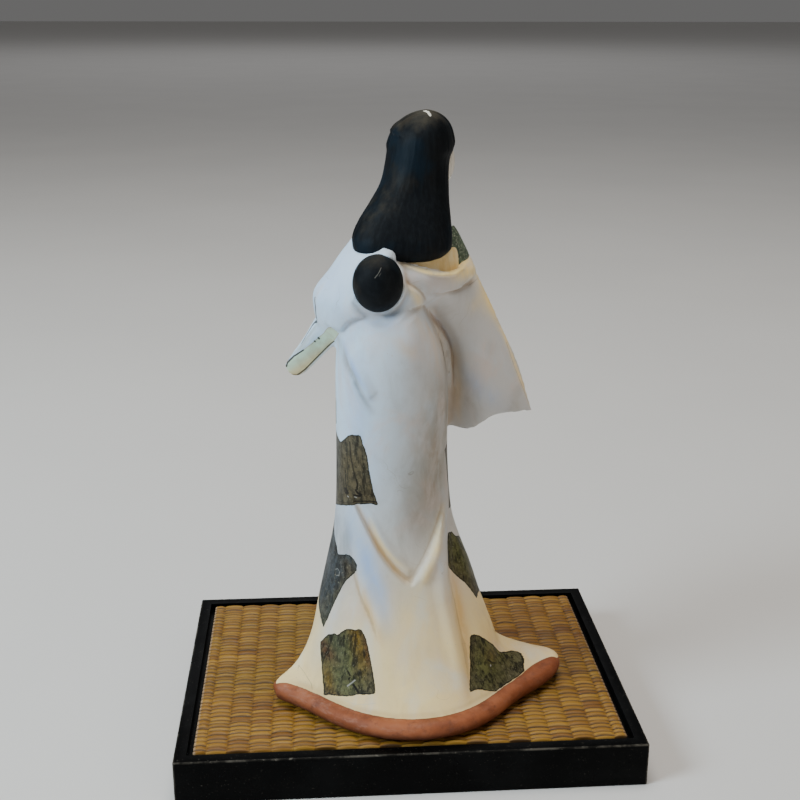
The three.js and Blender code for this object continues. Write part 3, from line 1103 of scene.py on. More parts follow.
        # Painted shade: the roll is darker where it faces down.
        coat.lay(bench.upward().fade(-0.6, 0.25, 0.6, 0), self.hem_dark)
        bare = bench.value("worn") + (cloud - 0.5) * 0.9
        coat.lay(bare.fade(0.42, 0.75), self.hem_bare)
        coat.lay(depth.size().fade(0.0, 0.45, 0.55, 0), self.hem_dark)
        return coat.colour, depth.fade(-0.12, 0.12)

    def lining_paint(self, bench: Bench) -> tuple[Tone, Tone]:
        """Lay the pale green of the sleeve's lining, with a painted warm reflection in tan along its
        lower side.

        Args:
            bench: the material's bench.

        Returns:
            Its colour and where it is, 1 on the lining.
        """
        depth = bench.value("lining")
        # Painted warm reflection: the lower side of the bar is tan.
        low = bench.value("lining_across").fade(-3.4, 2.4, 1, 0)
        coat = Coat(bench, self.lining).lay(low, self.lining_warm_reflection)
        coat.stain(self.grime, 0.25, (0.45, 0.70), 180)
        coat.lay(depth.fade(0.0, 0.55, 0.75, 0), self.grime)
        return coat.colour, depth.fade(-0.10, 0.12)

    def make(self) -> bpy.types.Material:
        """Return the material."""
        bench = Bench("robe paint")
        coat = self.ground(bench)
        scratch = self.scratches(bench)
        coat.lay(scratch * 0.5, self.clay, "MULTIPLY")
        # The patches lie on top, and the gloss and relief below follow them.
        for paint in (self.lining_paint, self.hem_paint, self.patches):
            colour, patched = paint(bench)
            coat.lay(patched, colour)
        coat.lay(self.dark.mask(bench) * 0.95, self.line)
        coat.lay(self.pale.mask(bench) * 0.85, self.scraped)
        brushed = bench.noise((900, 900, 260), 5, 0.6) * 0.6 + bench.noise((240, 240, 200), 4, 0.6) * 0.4
        brushed = brushed + scratch * -0.35 + patched * (bench.noise((1300, 1300, 420), 3) * 0.7)
        rough = bench.noise(90).fade(0.3, 0.7, 0.54, 0.72) + patched * -0.14
        return bench.finish(
            base_color=coat.colour,
            roughness=rough,
            normal=bench.relief(brushed, 0.30, 0.0004),
            specular_IOR_level=patched.fade(0, 1, 0.35, 0.12),
        )


@dataclass(frozen=True)
class HairPaint:
    """Black lacquer brushed down the hair, dusty on top, with a painted blue-green sheen.

    Attributes:
        marks: the pale marks on it.
        dust_share: how strong the dust is.
        comb: brush marks a metre along each axis.
    """

    marks: Strokes
    black: Colour = (0.0028, 0.0042, 0.0060)
    brushed: Colour = (0.0055, 0.0078, 0.0100)
    teal_sheen: Colour = (0.0024, 0.0105, 0.0195)
    brown: Colour = (0.022, 0.0165, 0.010)
    dust: Colour = (0.060, 0.053, 0.038)
    scratch: Colour = (0.78, 0.75, 0.66)
    name: str = "hair paint"
    dust_share: float = 0.9
    comb: Point = (620.0, 620.0, 14.0)

    def make(self) -> bpy.types.Material:
        """Return the material."""
        bench = Bench(self.name)
        strands = bench.noise(self.comb, 4, 0.6, 0.15)
        coat = Coat(bench, self.black).lay(strands.fade(0.40, 0.68), self.brushed)
        dusty = (bench.upward() + bench.noise((130, 130, 60), 5, 0.65) * 0.9).fade(0.95, 1.6)
        coat.lay(dusty * self.dust_share, self.dust)
        # Painted sheen: cloudy blue-green patches over the black.
        coat.stain(self.teal_sheen, 0.6, (0.50, 0.66), (42, 42, 30), 3, 0.6)
        coat.stain(self.brown, 0.6, (0.56, 0.70), (38, 38, 26), 4, 0.6)
        # Pale marks: a small spot on top of the hair and faint lines on the child's head.
        coat.lay(self.marks.mask(bench), self.scratch)
        rough = bench.noise((110, 110, 26)).fade(0.3, 0.7, 0.50, 0.64) + dusty * 0.2
        return bench.finish(
            base_color=coat.colour,
            roughness=rough,
            normal=bench.relief(strands, 0.35, 0.0005),
            specular_IOR_level=0.11,
        )


@dataclass(frozen=True)
class SkinPaint:
    """Smooth ivory skin with a painted face, laid out in mm across and up the face."""

    ivory: Colour = (0.70, 0.66, 0.58)
    shade: Colour = (0.52, 0.40, 0.32)
    blush: Colour = (0.66, 0.36, 0.29)
    ink: Colour = (0.012, 0.011, 0.011)
    hairline: Colour = (0.10, 0.09, 0.085)
    lip: Colour = (0.42, 0.050, 0.035)
    white: Colour = (0.78, 0.77, 0.74)
    eye_across: float = 4.9
    eye_up: float = 1.2
    brow: tuple[float, float] = (5.4, 7.4)
    cheek: tuple[float, float] = (6.6, -3.6)
    lip_up: float = -7.3

    def spot(self, bench: Bench, across: float, up: float, *half: float) -> Tone:
        """Make the square of the distance to an oval on the face.

        Args:
            bench: the material's bench.
            across: where the oval's middle is across the face.
            up: where it is up the face.
            half: half of the oval's width and height.

        Returns:
            The square, 1 on the oval's edge.
        """
        parts = []
        for axis, middle, reach in zip(("face_across", "face_up"), (across, up), half):
            away = (bench.value(axis) - middle) * (1 / reach)
            parts.append(away * away)
        return parts[0] + parts[1]

    def make(self) -> bpy.types.Material:
        """Return the material."""
        bench = Bench("skin paint")
        coat = Coat(bench, self.ivory).stain(self.shade, 0.12, (0.42, 0.72), 120)
        up = self.eye_up
        for side in (-1, 1):
            cheek = self.spot(bench, side * self.cheek[0], self.cheek[1], 4.4, 3.4)
            coat.lay(cheek.fade(0.0, 1.6, 0.22, 0), self.blush)
            eye = side * self.eye_across
            brow = self.spot(bench, side * self.brow[0], self.brow[1], 2.7, 0.62)
            coat.lay(brow.fade(0.2, 1.8, 0.8, 0), self.hairline)
            white = self.spot(bench, eye, up - 0.25, 2.55, 0.82).fade(0.9, 1.1, 1, 0)
            coat.lay(white * 0.6, self.white)
            iris = self.spot(bench, eye, up - 0.1, 0.95, 0.92).fade(0.85, 1.15, 1, 0)
            coat.lay(iris * white, self.ink)
            upper = self.spot(bench, eye, up - 0.2, 3.0, 1.12).fade(0.86, 1.1, 1, 0)
            below = self.spot(bench, eye, up - 0.62, 3.1, 1.20).fade(0.9, 1.1, 0, 1)
            coat.lay(upper * below, self.ink)
            lip = self.spot(bench, side * 0.75, self.lip_up + 0.55, 1.3, 0.62)
            coat.lay(lip.fade(0.8, 1.2, 0.9, 0), self.lip)
        lower = self.spot(bench, 0.0, self.lip_up - 0.35, 1.35, 0.75)
        coat.lay(lower.fade(0.8, 1.2, 0.9, 0), self.lip)
        return bench.finish(
            base_color=coat.colour,
            roughness=0.42,
            normal=bench.relief(bench.noise(700), 0.10, 0.0003),
            specular_IOR_level=0.4,
        )


@dataclass(frozen=True)
class CollarPaint:
    """A fine green and olive figured collar."""

    dark: Colour = (0.035, 0.050, 0.036)
    green: Colour = (0.105, 0.150, 0.092)
    pale: Colour = (0.34, 0.36, 0.27)

    def make(self) -> bpy.types.Material:
        """Return the material."""
        bench = Bench("collar paint")
        weave = bench.noise(900, 3, 0.6).fade(0.40, 0.60)
        dots = bench.cells(760).fade(0.20, 0.38, 1, 0)
        coat = Coat(bench, self.dark).lay(weave, self.green).lay(dots * 0.75, self.pale)
        relief = bench.relief(dots, 0.3, 0.0003)
        return bench.finish(base_color=coat.colour, roughness=0.6, normal=relief)


@dataclass(frozen=True)
class LiningPaint:
    """Warm tan inside of the collar: cream-gold paint with painted warm reflected light in its shade."""

    tan: Colour = (0.78, 0.57, 0.25)
    pale: Colour = (0.84, 0.70, 0.42)
    shade: Colour = (0.36, 0.24, 0.10)

    def make(self) -> bpy.types.Material:
        """Return the material."""
        bench = Bench("inner collar paint")
        cloud = bench.noise((150, 150, 90), 5, 0.6)
        coat = Coat(bench, self.tan).lay(cloud.fade(0.35, 0.68), self.pale)
        coat.stain(self.shade, 0.15, (0.56, 0.70), (420, 420, 40), 3)
        relief = bench.relief(cloud, 0.2, 0.0004)
        return bench.finish(base_color=coat.colour, roughness=0.62, normal=relief)


@dataclass(frozen=True)
class Lacquer:
    """Black lacquer on wood, with handling marks and a worn line along the outer edges.

    Attributes:
        half_x: half of the board's width in metres.
        half_y: half of the board's depth in metres.
        top: height of the board's rim in metres.
    """

    half_x: float
    half_y: float
    top: float
    black: Colour = (0.0014, 0.0014, 0.0015)
    haze: Colour = (0.0045, 0.0048, 0.0050)
    worn: Colour = (0.16, 0.145, 0.12)
    line: float = 0.0011

    def edge(self, bench: Bench) -> Tone:
        """Make a mask of the outer edges.

        Args:
            bench: the material's bench.

        Returns:
            How near the surface is to an outer edge, 1 on the edge.
        """
        across, away, height = bench.axes()
        side_x = bench.sum("SUBTRACT", self.half_x, across.size())
        side_y = bench.sum("SUBTRACT", self.half_y, away.size())
        below = bench.sum("SUBTRACT", self.top, height)
        near = side_x.lowest(side_y).highest(below).lowest(side_x.highest(side_y))
        return near.fade(self.line * 0.3, self.line, 1, 0)

    def make(self) -> bpy.types.Material:
        """Return the material."""
        bench = Bench("black lacquer")
        coat = Coat(bench, self.black).stain(self.haze, 0.8, (0.40, 0.70), 26, 5, 0.6)
        coat.stain(self.worn, 0.25, (0.66, 0.74), 900, 2, 0.7)
        chips = bench.noise(300, 5, 0.7).fade(0.56, 0.66) * 0.8
        thin = bench.noise(50, 4, 0.7).fade(0.44, 0.62, 0.05, 0.50)
        coat.lay(self.edge(bench) * chips.highest(thin), self.worn)
        ripple = bench.noise(70, 2) * 0.8 + bench.noise(900, 3) * 0.12
        return bench.finish(
            base_color=coat.colour,
            roughness=bench.noise(60, 5, 0.65).fade(0.3, 0.75, 0.24, 0.40),
            normal=bench.relief(ripple, 0.22, 0.0006),
            ior=1.2,
            specular_IOR_level=0.22,
        )


@dataclass(frozen=True)
class Rush:
    """Dried rush, with its own tone on each strand, fibres along it and painted shade in the gaps."""

    gold: Colour = (0.215, 0.096, 0.006)
    straw: Colour = (0.310, 0.155, 0.014)
    brown: Colour = (0.150, 0.055, 0.004)
    green: Colour = (0.190, 0.118, 0.010)
    gap: Colour = (0.030, 0.011, 0.001)
    cut: Colour = (0.46, 0.33, 0.22)

    def make(self) -> bpy.types.Material:
        """Return the material."""
        bench = Bench("rush")
        tone = bench.value("tone")
        coat = Coat(bench, self.gold).lay(tone.fade(0.15, 0.85), self.straw)
        coat.lay(tone.fade(0.0, 0.22, 0.75, 0), self.brown)
        coat.stain(self.green, 0.45, (0.48, 0.68), 22)
        fibres = bench.noise((70, 1500, 1500), 5, 0.6)
        coat.lay(fibres.fade(0.45, 0.75, 0, 0.35), self.brown)
        coat.lay(fibres.fade(0.25, 0.45, 0.22, 0), self.straw)
        coat.lay(bench.value("cut").fade(0.2, 0.9) * 0.7, self.cut)
        # Painted shade: dark brown in the gaps where strands meet and along the warp lines.
        coat.lay(bench.value("gap").fade(0.12, 0.92) * 0.95, self.gap)
        return bench.finish(
            base_color=coat.colour,
            roughness=fibres.fade(0.3, 0.7, 0.42, 0.66),
            normal=bench.relief(fibres, 0.35, 0.0005),
            specular_IOR_level=0.4,
        )


# The robe


@dataclass(frozen=True)
class SoftLine:
    """A soft band along a line seen from one side, strongest on the line and in its middle.

    Attributes:
        half: how far it spreads to each side.
        strength: how strong it is on its middle.
        line: its middle, across and up.
        ends: at which shares of a half wave its strength starts and ends.
    """

    half: float
    strength: float
    line: Line
    ends: tuple[float, float] = (0.12, 0.88)

    def at(self, x: Array, z: Array) -> Array:
        """Return how strong the band is at each place."""
        distance, share = nearest_on_line(self.line, x, z)
        return self.strength * np.sin(math.pi * mix(*self.ends, share)) * bell(distance, self.half)


@dataclass(frozen=True)
class Lap:
    """An edge of cloth that lies on the cloth beside it, seen from behind.

    Attributes:
        line: the edge; the upper cloth is on its right for someone walking along it
            behind her back.
        height: how far the upper cloth stands out at the edge.
        edge: half the width of the step.
        reach: how far from the edge the upper cloth sinks back.
        groove: depth of the furrow at the foot of the step.
        ends: shares of the line over which it fades in and out.
    """

    line: Line
    height: float
    edge: float
    reach: float
    groove: float = 0.0
    ends: tuple[float, float] = (0.15, 0.15)

    def rise(self, x: Array, z: Array) -> Array:
        """Find how far the cloth stands out at each place.

        Args:
            x: how far to her left the places lie.
            z: how high they lie.

        Returns:
            The heights.
        """
        side, share = beside(self.line, x, z)
        fade = smooth_step(0, self.ends[0], share) * smooth_step(0, self.ends[1], 1 - share)
        step = smooth_step(-self.edge, self.edge, side)
        step = step * (1 - smooth_step(0.15 * self.reach, self.reach, side))
        return fade * (self.height * step - self.groove * bell(side + self.edge, self.edge))


@dataclass(frozen=True)
class Trains:
    """The two ends of the hem that are drawn out to the sides."""

    left_angle: float = 11
    left_reach: float = 18
    left_spread: float = 10.5
    left_roundness: float = 2.5
    left_foot: float = 7
    left_rise: float = 38
    left_fade: float = 1.8
    right_angle: float = 185.5
    right_reach: float = 25.5
    right_back_spread: float = 21
    right_front_spread: float = 13
    right_foot: float = 7
    right_rise: float = 18
    tip_lift: float = 2.2
    overhang: float = 4.4
    lifted_height: float = 25

    @staticmethod
    def turn_between(first: Array | float, second: Array | float) -> Array:
        """Return the smaller angle between two directions, in degrees."""
        turn = np.abs(first - second) % FULL_TURN
        return np.minimum(turn, FULL_TURN - turn)

    def left(self, turned: Array) -> Array:
        """Return how far the left train reaches at directions in degrees."""
        rounded = np.hypot(self.turn_between(turned, self.left_angle), self.left_roundness)
        return self.left_reach * np.exp(-(rounded - self.left_roundness) / self.left_spread)

    def right(self, turned: Array) -> Array:
        """Find how far the right train reaches.

        Args:
            turned: directions in degrees.

        Returns:
            The reaches.
        """
        turn = self.turn_between(turned, self.right_angle)
        behind = self.turn_between(turned, 90) < self.turn_between(self.right_angle, 90)
        spread = np.where(behind, self.right_back_spread, self.right_front_spread)
        return self.right_reach * bell(turn, spread)

    def shares(self, turned: Array) -> tuple[Array, Array]:
        """Return the reaches of the left and the right train as shares of their full reach."""
        return self.left(turned) / self.left_reach, self.right(turned) / self.right_reach

    def over(self, turned: Array) -> Array:
        """Return how far the cloth reaches over the roll at the two tips."""
        left, right = self.shares(turned)
        return self.overhang * (left**3 + right**6)

    def lift(self, turned: Array) -> Array:
        """Return how far the hem stands off the mat."""
        return self.tip_lift * sum(self.shares(turned))


@dataclass(frozen=True)
class Body:
    """The robe from the hem to the top of the bundle on her back."""

    trains: Trains = Trains()
    top: float = 223
    middle_x: Profile = Profile(((0, -3), (30, 0), (60, 4), (90, 6.5), (223, 7)))
    middle_y: Profile = Profile(((0, 20), (35, 16), (80, 10), (130, 10), (175, 14), (223, 20)))
    left: Profile = Profile(
        ((0, 53.5), (6, 54.5), (12, 53.8), (21, 52), (33, 49), (47, 44.8), (66, 38.2), (86, 32),
         (100, 29.8), (125, 28.7), (160, 28.4))
    )
    right: Profile = Profile(
        ((0, 53.5), (6, 54.5), (12, 53.5), (26, 50.5), (37, 48), (50, 45), (69, 41), (84, 36.5),
         (100, 32.2), (134, 29.6), (160, 29.4))
    )
    back: Profile = Profile(
        ((0, 53), (5, 53.5), (10, 50.5), (20, 44.5), (35, 39), (55, 36), (75, 34.5), (100, 32),
         (130, 32), (150, 34), (175, 36), (200, 37))
    )
    front: Profile = Profile(
        ((0, 53), (5, 53.5), (10, 51), (25, 46), (50, 39), (80, 33), (120, 30), (165, 33), (190, 36))
    )
    shoulder: float = 160
    rise: float = 63.5
    left_roundness: float = 4
    right_roundness: float = 2
    depth_roundness: float = 5
    back_crowding: float = 0.32
    foot_crowding: float = 1.12
    back_corner: float = 2.25
    fold_side_share: float = 0.3
    back_folds: tuple[SoftLine, ...] = (
        SoftLine(4.6, 4.5, ((-23.5, 124), (-25, 90), (-27, 62), (-31, 40), (-36, 14)), (0.08, 0.92)),
        SoftLine(4.6, 2.2, ((33, 92), (28, 74), (22, 60), (17, 44)), (0.08, 0.92)),
    )
    front_folds: tuple[SoftLine, ...] = (
        SoftLine(4, 2.6, ((-17, 150), (-16, 110), (-18, 70), (-24, 30), (-30, 8)), (0.08, 0.92)),
        SoftLine(5, 2.6, ((20, 120), (24, 80), (32, 40), (40, 14)), (0.08, 0.92)),
        SoftLine(5, 2, ((2, 130), (4, 90), (8, 50), (10, 16)), (0.08, 0.92)),
    )

    def fullness(self, height: Array, roundness: Array | float) -> Array:
        """Return how full the bundle still is: 1 up to its shoulder, 0 at its top."""
        climb = clamp01((height - self.shoulder) / self.rise)
        return np.sqrt(np.maximum(0, 1 - climb**roundness))

    def place(self, even_angle: Array, rise: Array, reach: Array) -> Array:
        """Place the robe's points.

        Args:
            even_angle: even angles round the robe.
            rise: shares of its height, evenly spaced.
            reach: 0 in the middle of an end, 1 on the outside.

        Returns:
            The points, one row each.
        """
        angle = even_angle + self.back_crowding * np.cos(even_angle)
        height = self.top * rise**self.foot_crowding
        turned = np.degrees(angle)
        across, away = np.cos(angle), np.sin(angle)
        is_left, is_back = across > 0, away > 0
        roundness = np.where(is_left, self.left_roundness, self.right_roundness)
        side = np.where(is_left, self.left(height), self.right(height))
        side = side * self.fullness(height, roundness)
        depth = np.where(is_back, self.back(height), self.front(height))
        depth = depth * self.fullness(height, self.depth_roundness)
        corner = mix(2, np.where(is_back, self.back_corner, 2), smooth_step(20, 90, height))
        scale = squareness(across, away, corner)
        trains = self.trains
        left_share = (1 - clamp01((height - trains.left_foot) / trains.left_rise)) ** trains.left_fade
        right_top = trains.right_foot + trains.right_rise
        right_share = 1 - smooth_step(trains.right_foot, right_top, height)
        drawn = trains.left(turned) * left_share + trains.right(turned) * right_share
        drawn = drawn + trains.over(turned) * bell(height - 9.0, 5.5)
        lift = trains.lift(turned) * (1 - smooth_step(0, trains.lifted_height, height))
        x = self.middle_x(height) + across * (side * scale + drawn) * reach
        y = self.middle_y(height) + away * (depth * scale + drawn) * reach
        facing = smooth_step(0.15, 0.55, np.abs(away)) * reach
        behind = sum(fold.at(x, height) for fold in self.back_folds)
        before = sum(fold.at(x, height) for fold in self.front_folds)
        sink = np.where(is_back, behind, before) * facing
        x = x - across * sink * self.fold_side_share
        y = y - np.sign(away) * sink
        return np.stack([x, y, height + lift * reach], axis=1)

    def form(self) -> Form:
        """Return the body as a closed form."""
        return loft(260, 200, self.place)


@dataclass(frozen=True)
class HemRoll:
    """The padded roll round the foot of the robe.

    Attributes:
        trains: the two drawn-out ends of the hem.
        middle: the middle of the ring.
        radius: the ring's radius without the trains.
        thickness: the roll's own radius.
        left_cut: how far to her left the roll may reach.
        paint: how far from the roll's middle line its paint reaches.
        spread: how much further it reaches where the patch on the right train meets it.
        unit: the middle radius of the ring that the roll is made from.
    """

    trains: Trains = Trains()
    middle: tuple[float, float] = (-3, 20)
    radius: float = 54.5
    thickness: float = 5.1
    left_cut: float = 70.4
    paint: float = 5.75
    spread: float = 3.0
    unit: float = 2.0

    def centre_radius(self, turned: Array) -> Array:
        """Return how far the roll's centre line lies from the middle, for degrees."""
        return self.radius + self.trains.left(turned) + self.trains.right(turned)

    def place(self, points: Array) -> Array:
        """Place the roll's points.

        Args:
            points: the points of a ring with a thickness of 1, one row each.

        Returns:
            The roll's points.
        """
        angle = np.arctan2(points[:, 1], points[:, 0])
        turned = np.degrees(angle)
        outward = (np.hypot(points[:, 0], points[:, 1]) - self.unit) * self.thickness
        reach = self.centre_radius(turned) + outward
        height = self.thickness * (1 + points[:, 2]) + self.trains.lift(turned)
        x = self.middle[0] + np.cos(angle) * reach
        y = self.middle[1] + np.sin(angle) * reach
        return np.stack([np.minimum(x, self.left_cut), y, height], axis=1)

    def form(self) -> Form:
        """Return the roll as a closed form."""
        form = bmesh.new()
        stand = Matrix.Translation((self.unit, 0, 0)) @ Matrix.Rotation(math.pi / 2, 4, "X")
        bmesh.ops.create_circle(form, cap_ends=False, segments=20, radius=1, matrix=stand)
        bmesh.ops.spin(
            form, geom=form.verts[:] + form.edges[:], cent=(0, 0, 0), axis=(0, 0, 1),
            angle=2 * math.pi, steps=300, use_merge=True, use_duplicate=False,
        )
        bmesh.ops.recalc_face_normals(form, faces=form.faces)
        return move_points(form, self.place)

    def values(self, skin: Skin) -> dict[str, Array]:
        """Work out what the paint of the hem reads on each point.

        Args:
            skin: the skin of the figure.

        Returns:
            How far inside the paint the points lie in grid parts, and how bare the paint is.
        """
        trains = self.trains
        away_x, away_y = skin.x - self.middle[0], skin.y - self.middle[1]
        turned = np.degrees(np.arctan2(away_y, away_x))
        across = np.hypot(away_x, away_y) - self.centre_radius(turned)
        up = skin.z - self.thickness - trains.lift(turned)
        left, right = trains.shares(turned)
        covered = np.maximum(0.4 * left**14, right**8) * smooth_step(0.8, 4.0, up)
        spread = self.spread * bell(trains.turn_between(turned, trains.right_angle - 10), 9)
        depth = self.paint + spread - np.hypot(across, up) - 4 * covered
        left_tip = bell(trains.turn_between(turned, trains.left_angle), 1.0)
        right_tip = 0.6 * bell(trains.turn_between(turned, trains.right_angle + 2), 5.0)
        worn = np.maximum(left_tip, right_tip) * smooth_step(9.0, 13.5, skin.z)
        return {"hem": depth, "worn": worn}


@dataclass(frozen=True)
class RightSleeve:
    """A broad bag that hangs from the forearm, drawn to a point at its outer edge."""

    outer_x: Profile = Profile(
        ((0, -68.8), (0.108, -66), (0.213, -63.4), (0.337, -59.8), (0.485, -54), (0.644, -47.8),
         (0.841, -39.7), (1, -33.3))
    )
    foot: Profile = Profile(
        ((0, 145.5), (0.16, 144.8), (0.23, 144.2), (0.31, 143.7), (0.38, 145.4), (0.44, 148.1),
         (0.5, 151), (0.56, 153.4), (0.65, 154.1), (0.756, 153.6), (0.867, 152.6), (1, 151))
    )
    bow: Profile = Profile(((0, -6), (0.25, -2), (0.5, 7), (0.75, 7), (1, -1)))
    inner_foot_x: float = -16
    inner_top_x: float = 8
    inner_top_z: float = 226
    outer_top_z: float = 235.5
    middle_y: float = 4
    top_bow: float = 0.45
    inner_half: float = 5
    middle_half: float = 6.5
    top_half: float = 12
    edge_half: float = 1.6
    shoulder_depth: float = 9
    forearm_depth: float = 14

    def place(self, across: Array, through: Array, up: Array) -> Array:
        """Place the sleeve's points.

        Args:
            across: from -1 at the outer edge to 1 at the inner one.
            through: from -1 at the front to 1 at the back.
            up: from -1 at the foot to 1 at the top.

        Returns:
            The points, one row each.
        """
        rise = (up + 1) / 2
        share = (1 - across) / 2
        top_z = mix(self.inner_top_z, self.outer_top_z, share)
        inner_x = mix(self.inner_foot_x, self.inner_top_x, rise)
        bow = self.bow(share) * mix(1, self.top_bow, rise)
        bag = mix(self.inner_half, self.middle_half, 1 - across * across)
        half = mix(bag, self.top_half, smooth_step(0.55, 1, rise))
        edge = mix(half, self.edge_half, smooth_step(0.5, 1, share))
        shoulder = self.shoulder_depth * smooth_step(0.45, 1, rise) * (1 - share)
        swell = self.forearm_depth * smooth_step(0.35, 0.8, rise) * (1 - share)
        thickness = np.where(through < 0, edge + swell, edge)
        x = mix(inner_x, self.outer_x(rise), share)
        y = self.middle_y + bow + shoulder + through * thickness
        return np.stack([x, y, mix(self.foot(share), top_z, rise)], axis=1)

    def form(self) -> Form:
        """Return the sleeve as a closed form."""
        return block((64, 14, 80), self.place)


@dataclass(frozen=True)
class LeftSleeve:
    """A sleeve whose open back edge shows from behind as a long bar below the elbow.

    Attributes:
        bar_inner: the inner end of the open edge, across and up.
        bar_outer: its outer end.
        bar_half: half of its height.
        bar_y: how far back it lies.
        slope: the direction across the bar.
        drop: how much lower a point that lies further back shows in the outline of the lining.
        lining_front: how far behind the bar the lining starts.
        lining_reach: how far behind the bar it still reaches.
        lining: the outline of the lining, across and up.
    """

    bar_inner: tuple[float, float] = (32, 197)
    bar_outer: tuple[float, float] = (60, 177)
    bar_half: float = 4.7
    bar_y: float = 8
    mouth_inner: tuple[float, float] = (13, 201)
    mouth_outer: tuple[float, float] = (51, 177)
    mouth_half: float = 5
    mouth_y: float = -40
    slope: tuple[float, float] = (0.57, 0.82)
    upper: float = 13
    upper_at_bar: float = 0.42
    drop: float = 0.33
    lining_front: float = -3.2
    lining_reach: float = 21
    lower: Profile = Profile(((0, 0.8), (0.06, 1.3), (0.34, 3.2), (0.66, 5.6), (0.87, 6.4), (1, 6)))
    lining: Line = (
        (38.9, 198.8), (35.1, 198.7), (32.6, 197.5), (33.2, 195.8), (35.2, 193), (40.4, 187.8),
        (45.6, 182.6), (50.8, 177.3), (54.7, 174.3), (59.2, 174.9), (60.9, 178.3), (60.4, 181),
        (58.5, 183.3), (55.2, 186.2), (51.2, 188.5), (44.1, 194.3),
    )

    def place(self, across: Array, through: Array, up: Array) -> Array:
        """Place the sleeve's points.

        Args:
            across: from -1 at the inner end to 1 at the outer one.
            through: from -1 at the mouth to 1 at the bar.
            up: from -1 at the lower side to 1 at the upper one.

        Returns:
            The points, one row each.
        """
        share = (across + 1) / 2
        depth = (through + 1) / 2
        inner = [mix(m, b, depth) for m, b in zip(self.mouth_inner, self.bar_inner)]
        outer = [mix(m, b, depth) for m, b in zip(self.mouth_outer, self.bar_outer)]
        half = mix(self.mouth_half, self.bar_half, depth)
        round_end = np.sqrt(1 - across**6)
        taper = 1 - smooth_step(0, 1, share)
        upper = self.upper * taper * mix(1, self.upper_at_bar, smooth_step(0.6, 1, depth))
        lower = mix(half, self.lower(share), smooth_step(0.5, 1, depth))
        reach = np.where(up > 0, half + upper, lower) * mix(0.45, 1, round_end)
        x = mix(inner[0], outer[0], share) + self.slope[0] * reach * up
        z = mix(inner[1], outer[1], share) + self.slope[1] * reach * up
        return np.stack([x, mix(self.mouth_y, self.bar_y, depth), z], axis=1)

    def form(self) -> Form:
        """Return the sleeve as a closed form."""
        return block((44, 44, 16), self.place)

    def values(self, skin: Skin) -> dict[str, Array]:
        """Work out what the paint of the lining reads on each point.

        Args:
            skin: the skin of the figure.

        Returns:
            How far inside the lining and above the bar's middle the points lie, in grid parts.
        """
        behind = skin.y - self.bar_y
        depth = depth_inside(self.lining, skin.x, skin.z - self.drop * behind)
        reached = (behind > self.lining_front) & (behind < self.lining_reach)
        along = np.array(self.bar_outer) - np.array(self.bar_inner)
        along = along / np.linalg.norm(along)
        away_x, away_z = skin.x - self.bar_inner[0], skin.z - self.bar_inner[1]
        across = -away_x * along[1] + away_z * along[0]
        return {"lining": np.where(reached, depth, -3.0), "lining_across": across}


@dataclass(frozen=True)
class Shoulders:
    """The shoulders and upper arms of the robe, higher on her left."""

    foot: float = 192
    top: float = 250
    left: Profile = Profile(
        ((192, 34), (198, 41), (204, 44.4), (212, 45.8), (219.4, 45.6), (228.6, 38.6), (238.7, 31.4),
         (250, 22))
    )
    right: Profile = Profile(
        ((192, -6), (205, -9), (216, -18), (222, -26), (228, -29), (232, -26), (236, -8), (241, 3),
         (250, 7))
    )
    back: Profile = Profile(
        ((192, 20), (199, 30), (207, 38.5), (215, 43.5), (224, 45.5), (232, 45), (240, 41), (250, 32))
    )
    front: Profile = Profile(((192, -16), (205, -22), (220, -23), (236, -19), (250, -10)))
    left_corner: float = 2.2
    right_corner: float = 1.7
    middle_x: float = 13

    def place(self, angle: Array, rise: Array, reach: Array) -> Array:
        """Place the shoulders' points.

        Args:
            angle: angles round them.
            rise: shares of their height.
            reach: 0 in the middle of an end, 1 on the outside.

        Returns:
            The points, one row each.
        """
        height = mix(self.foot, self.top, rise)
        across, away = np.cos(angle), np.sin(angle)
        corner = np.where(across > 0, self.left_corner, self.right_corner)
        scale = squareness(across, away, corner) * reach
        left, right = self.left(height), self.right(height)
        back, front = self.back(height), self.front(height)
        width = np.where(across > 0, left - self.middle_x, self.middle_x - right)
        middle_y = (back + front) / 2
        x = self.middle_x + across * width * scale
        y = middle_y + away * (back - front) / 2 * scale
        return np.stack([x, y, height], axis=1)

    def form(self) -> Form:
        """Return the shoulders as a closed form."""
        return loft(120, 60, self.place)


CREASE: Line = (
    (-5.8, 218.5), (-7.4, 215.8), (-10.3, 210.7), (-13.5, 206.5), (-16.3, 202.8), (-18.2, 199.8),
    (-19.9, 196.9), (-21.6, 193.7), (-22.9, 190.1), (-23.7, 186.6), (-24.1, 182.7), (-24.6, 174.3),
    (-24.8, 164.8), (-24.2, 150),
)


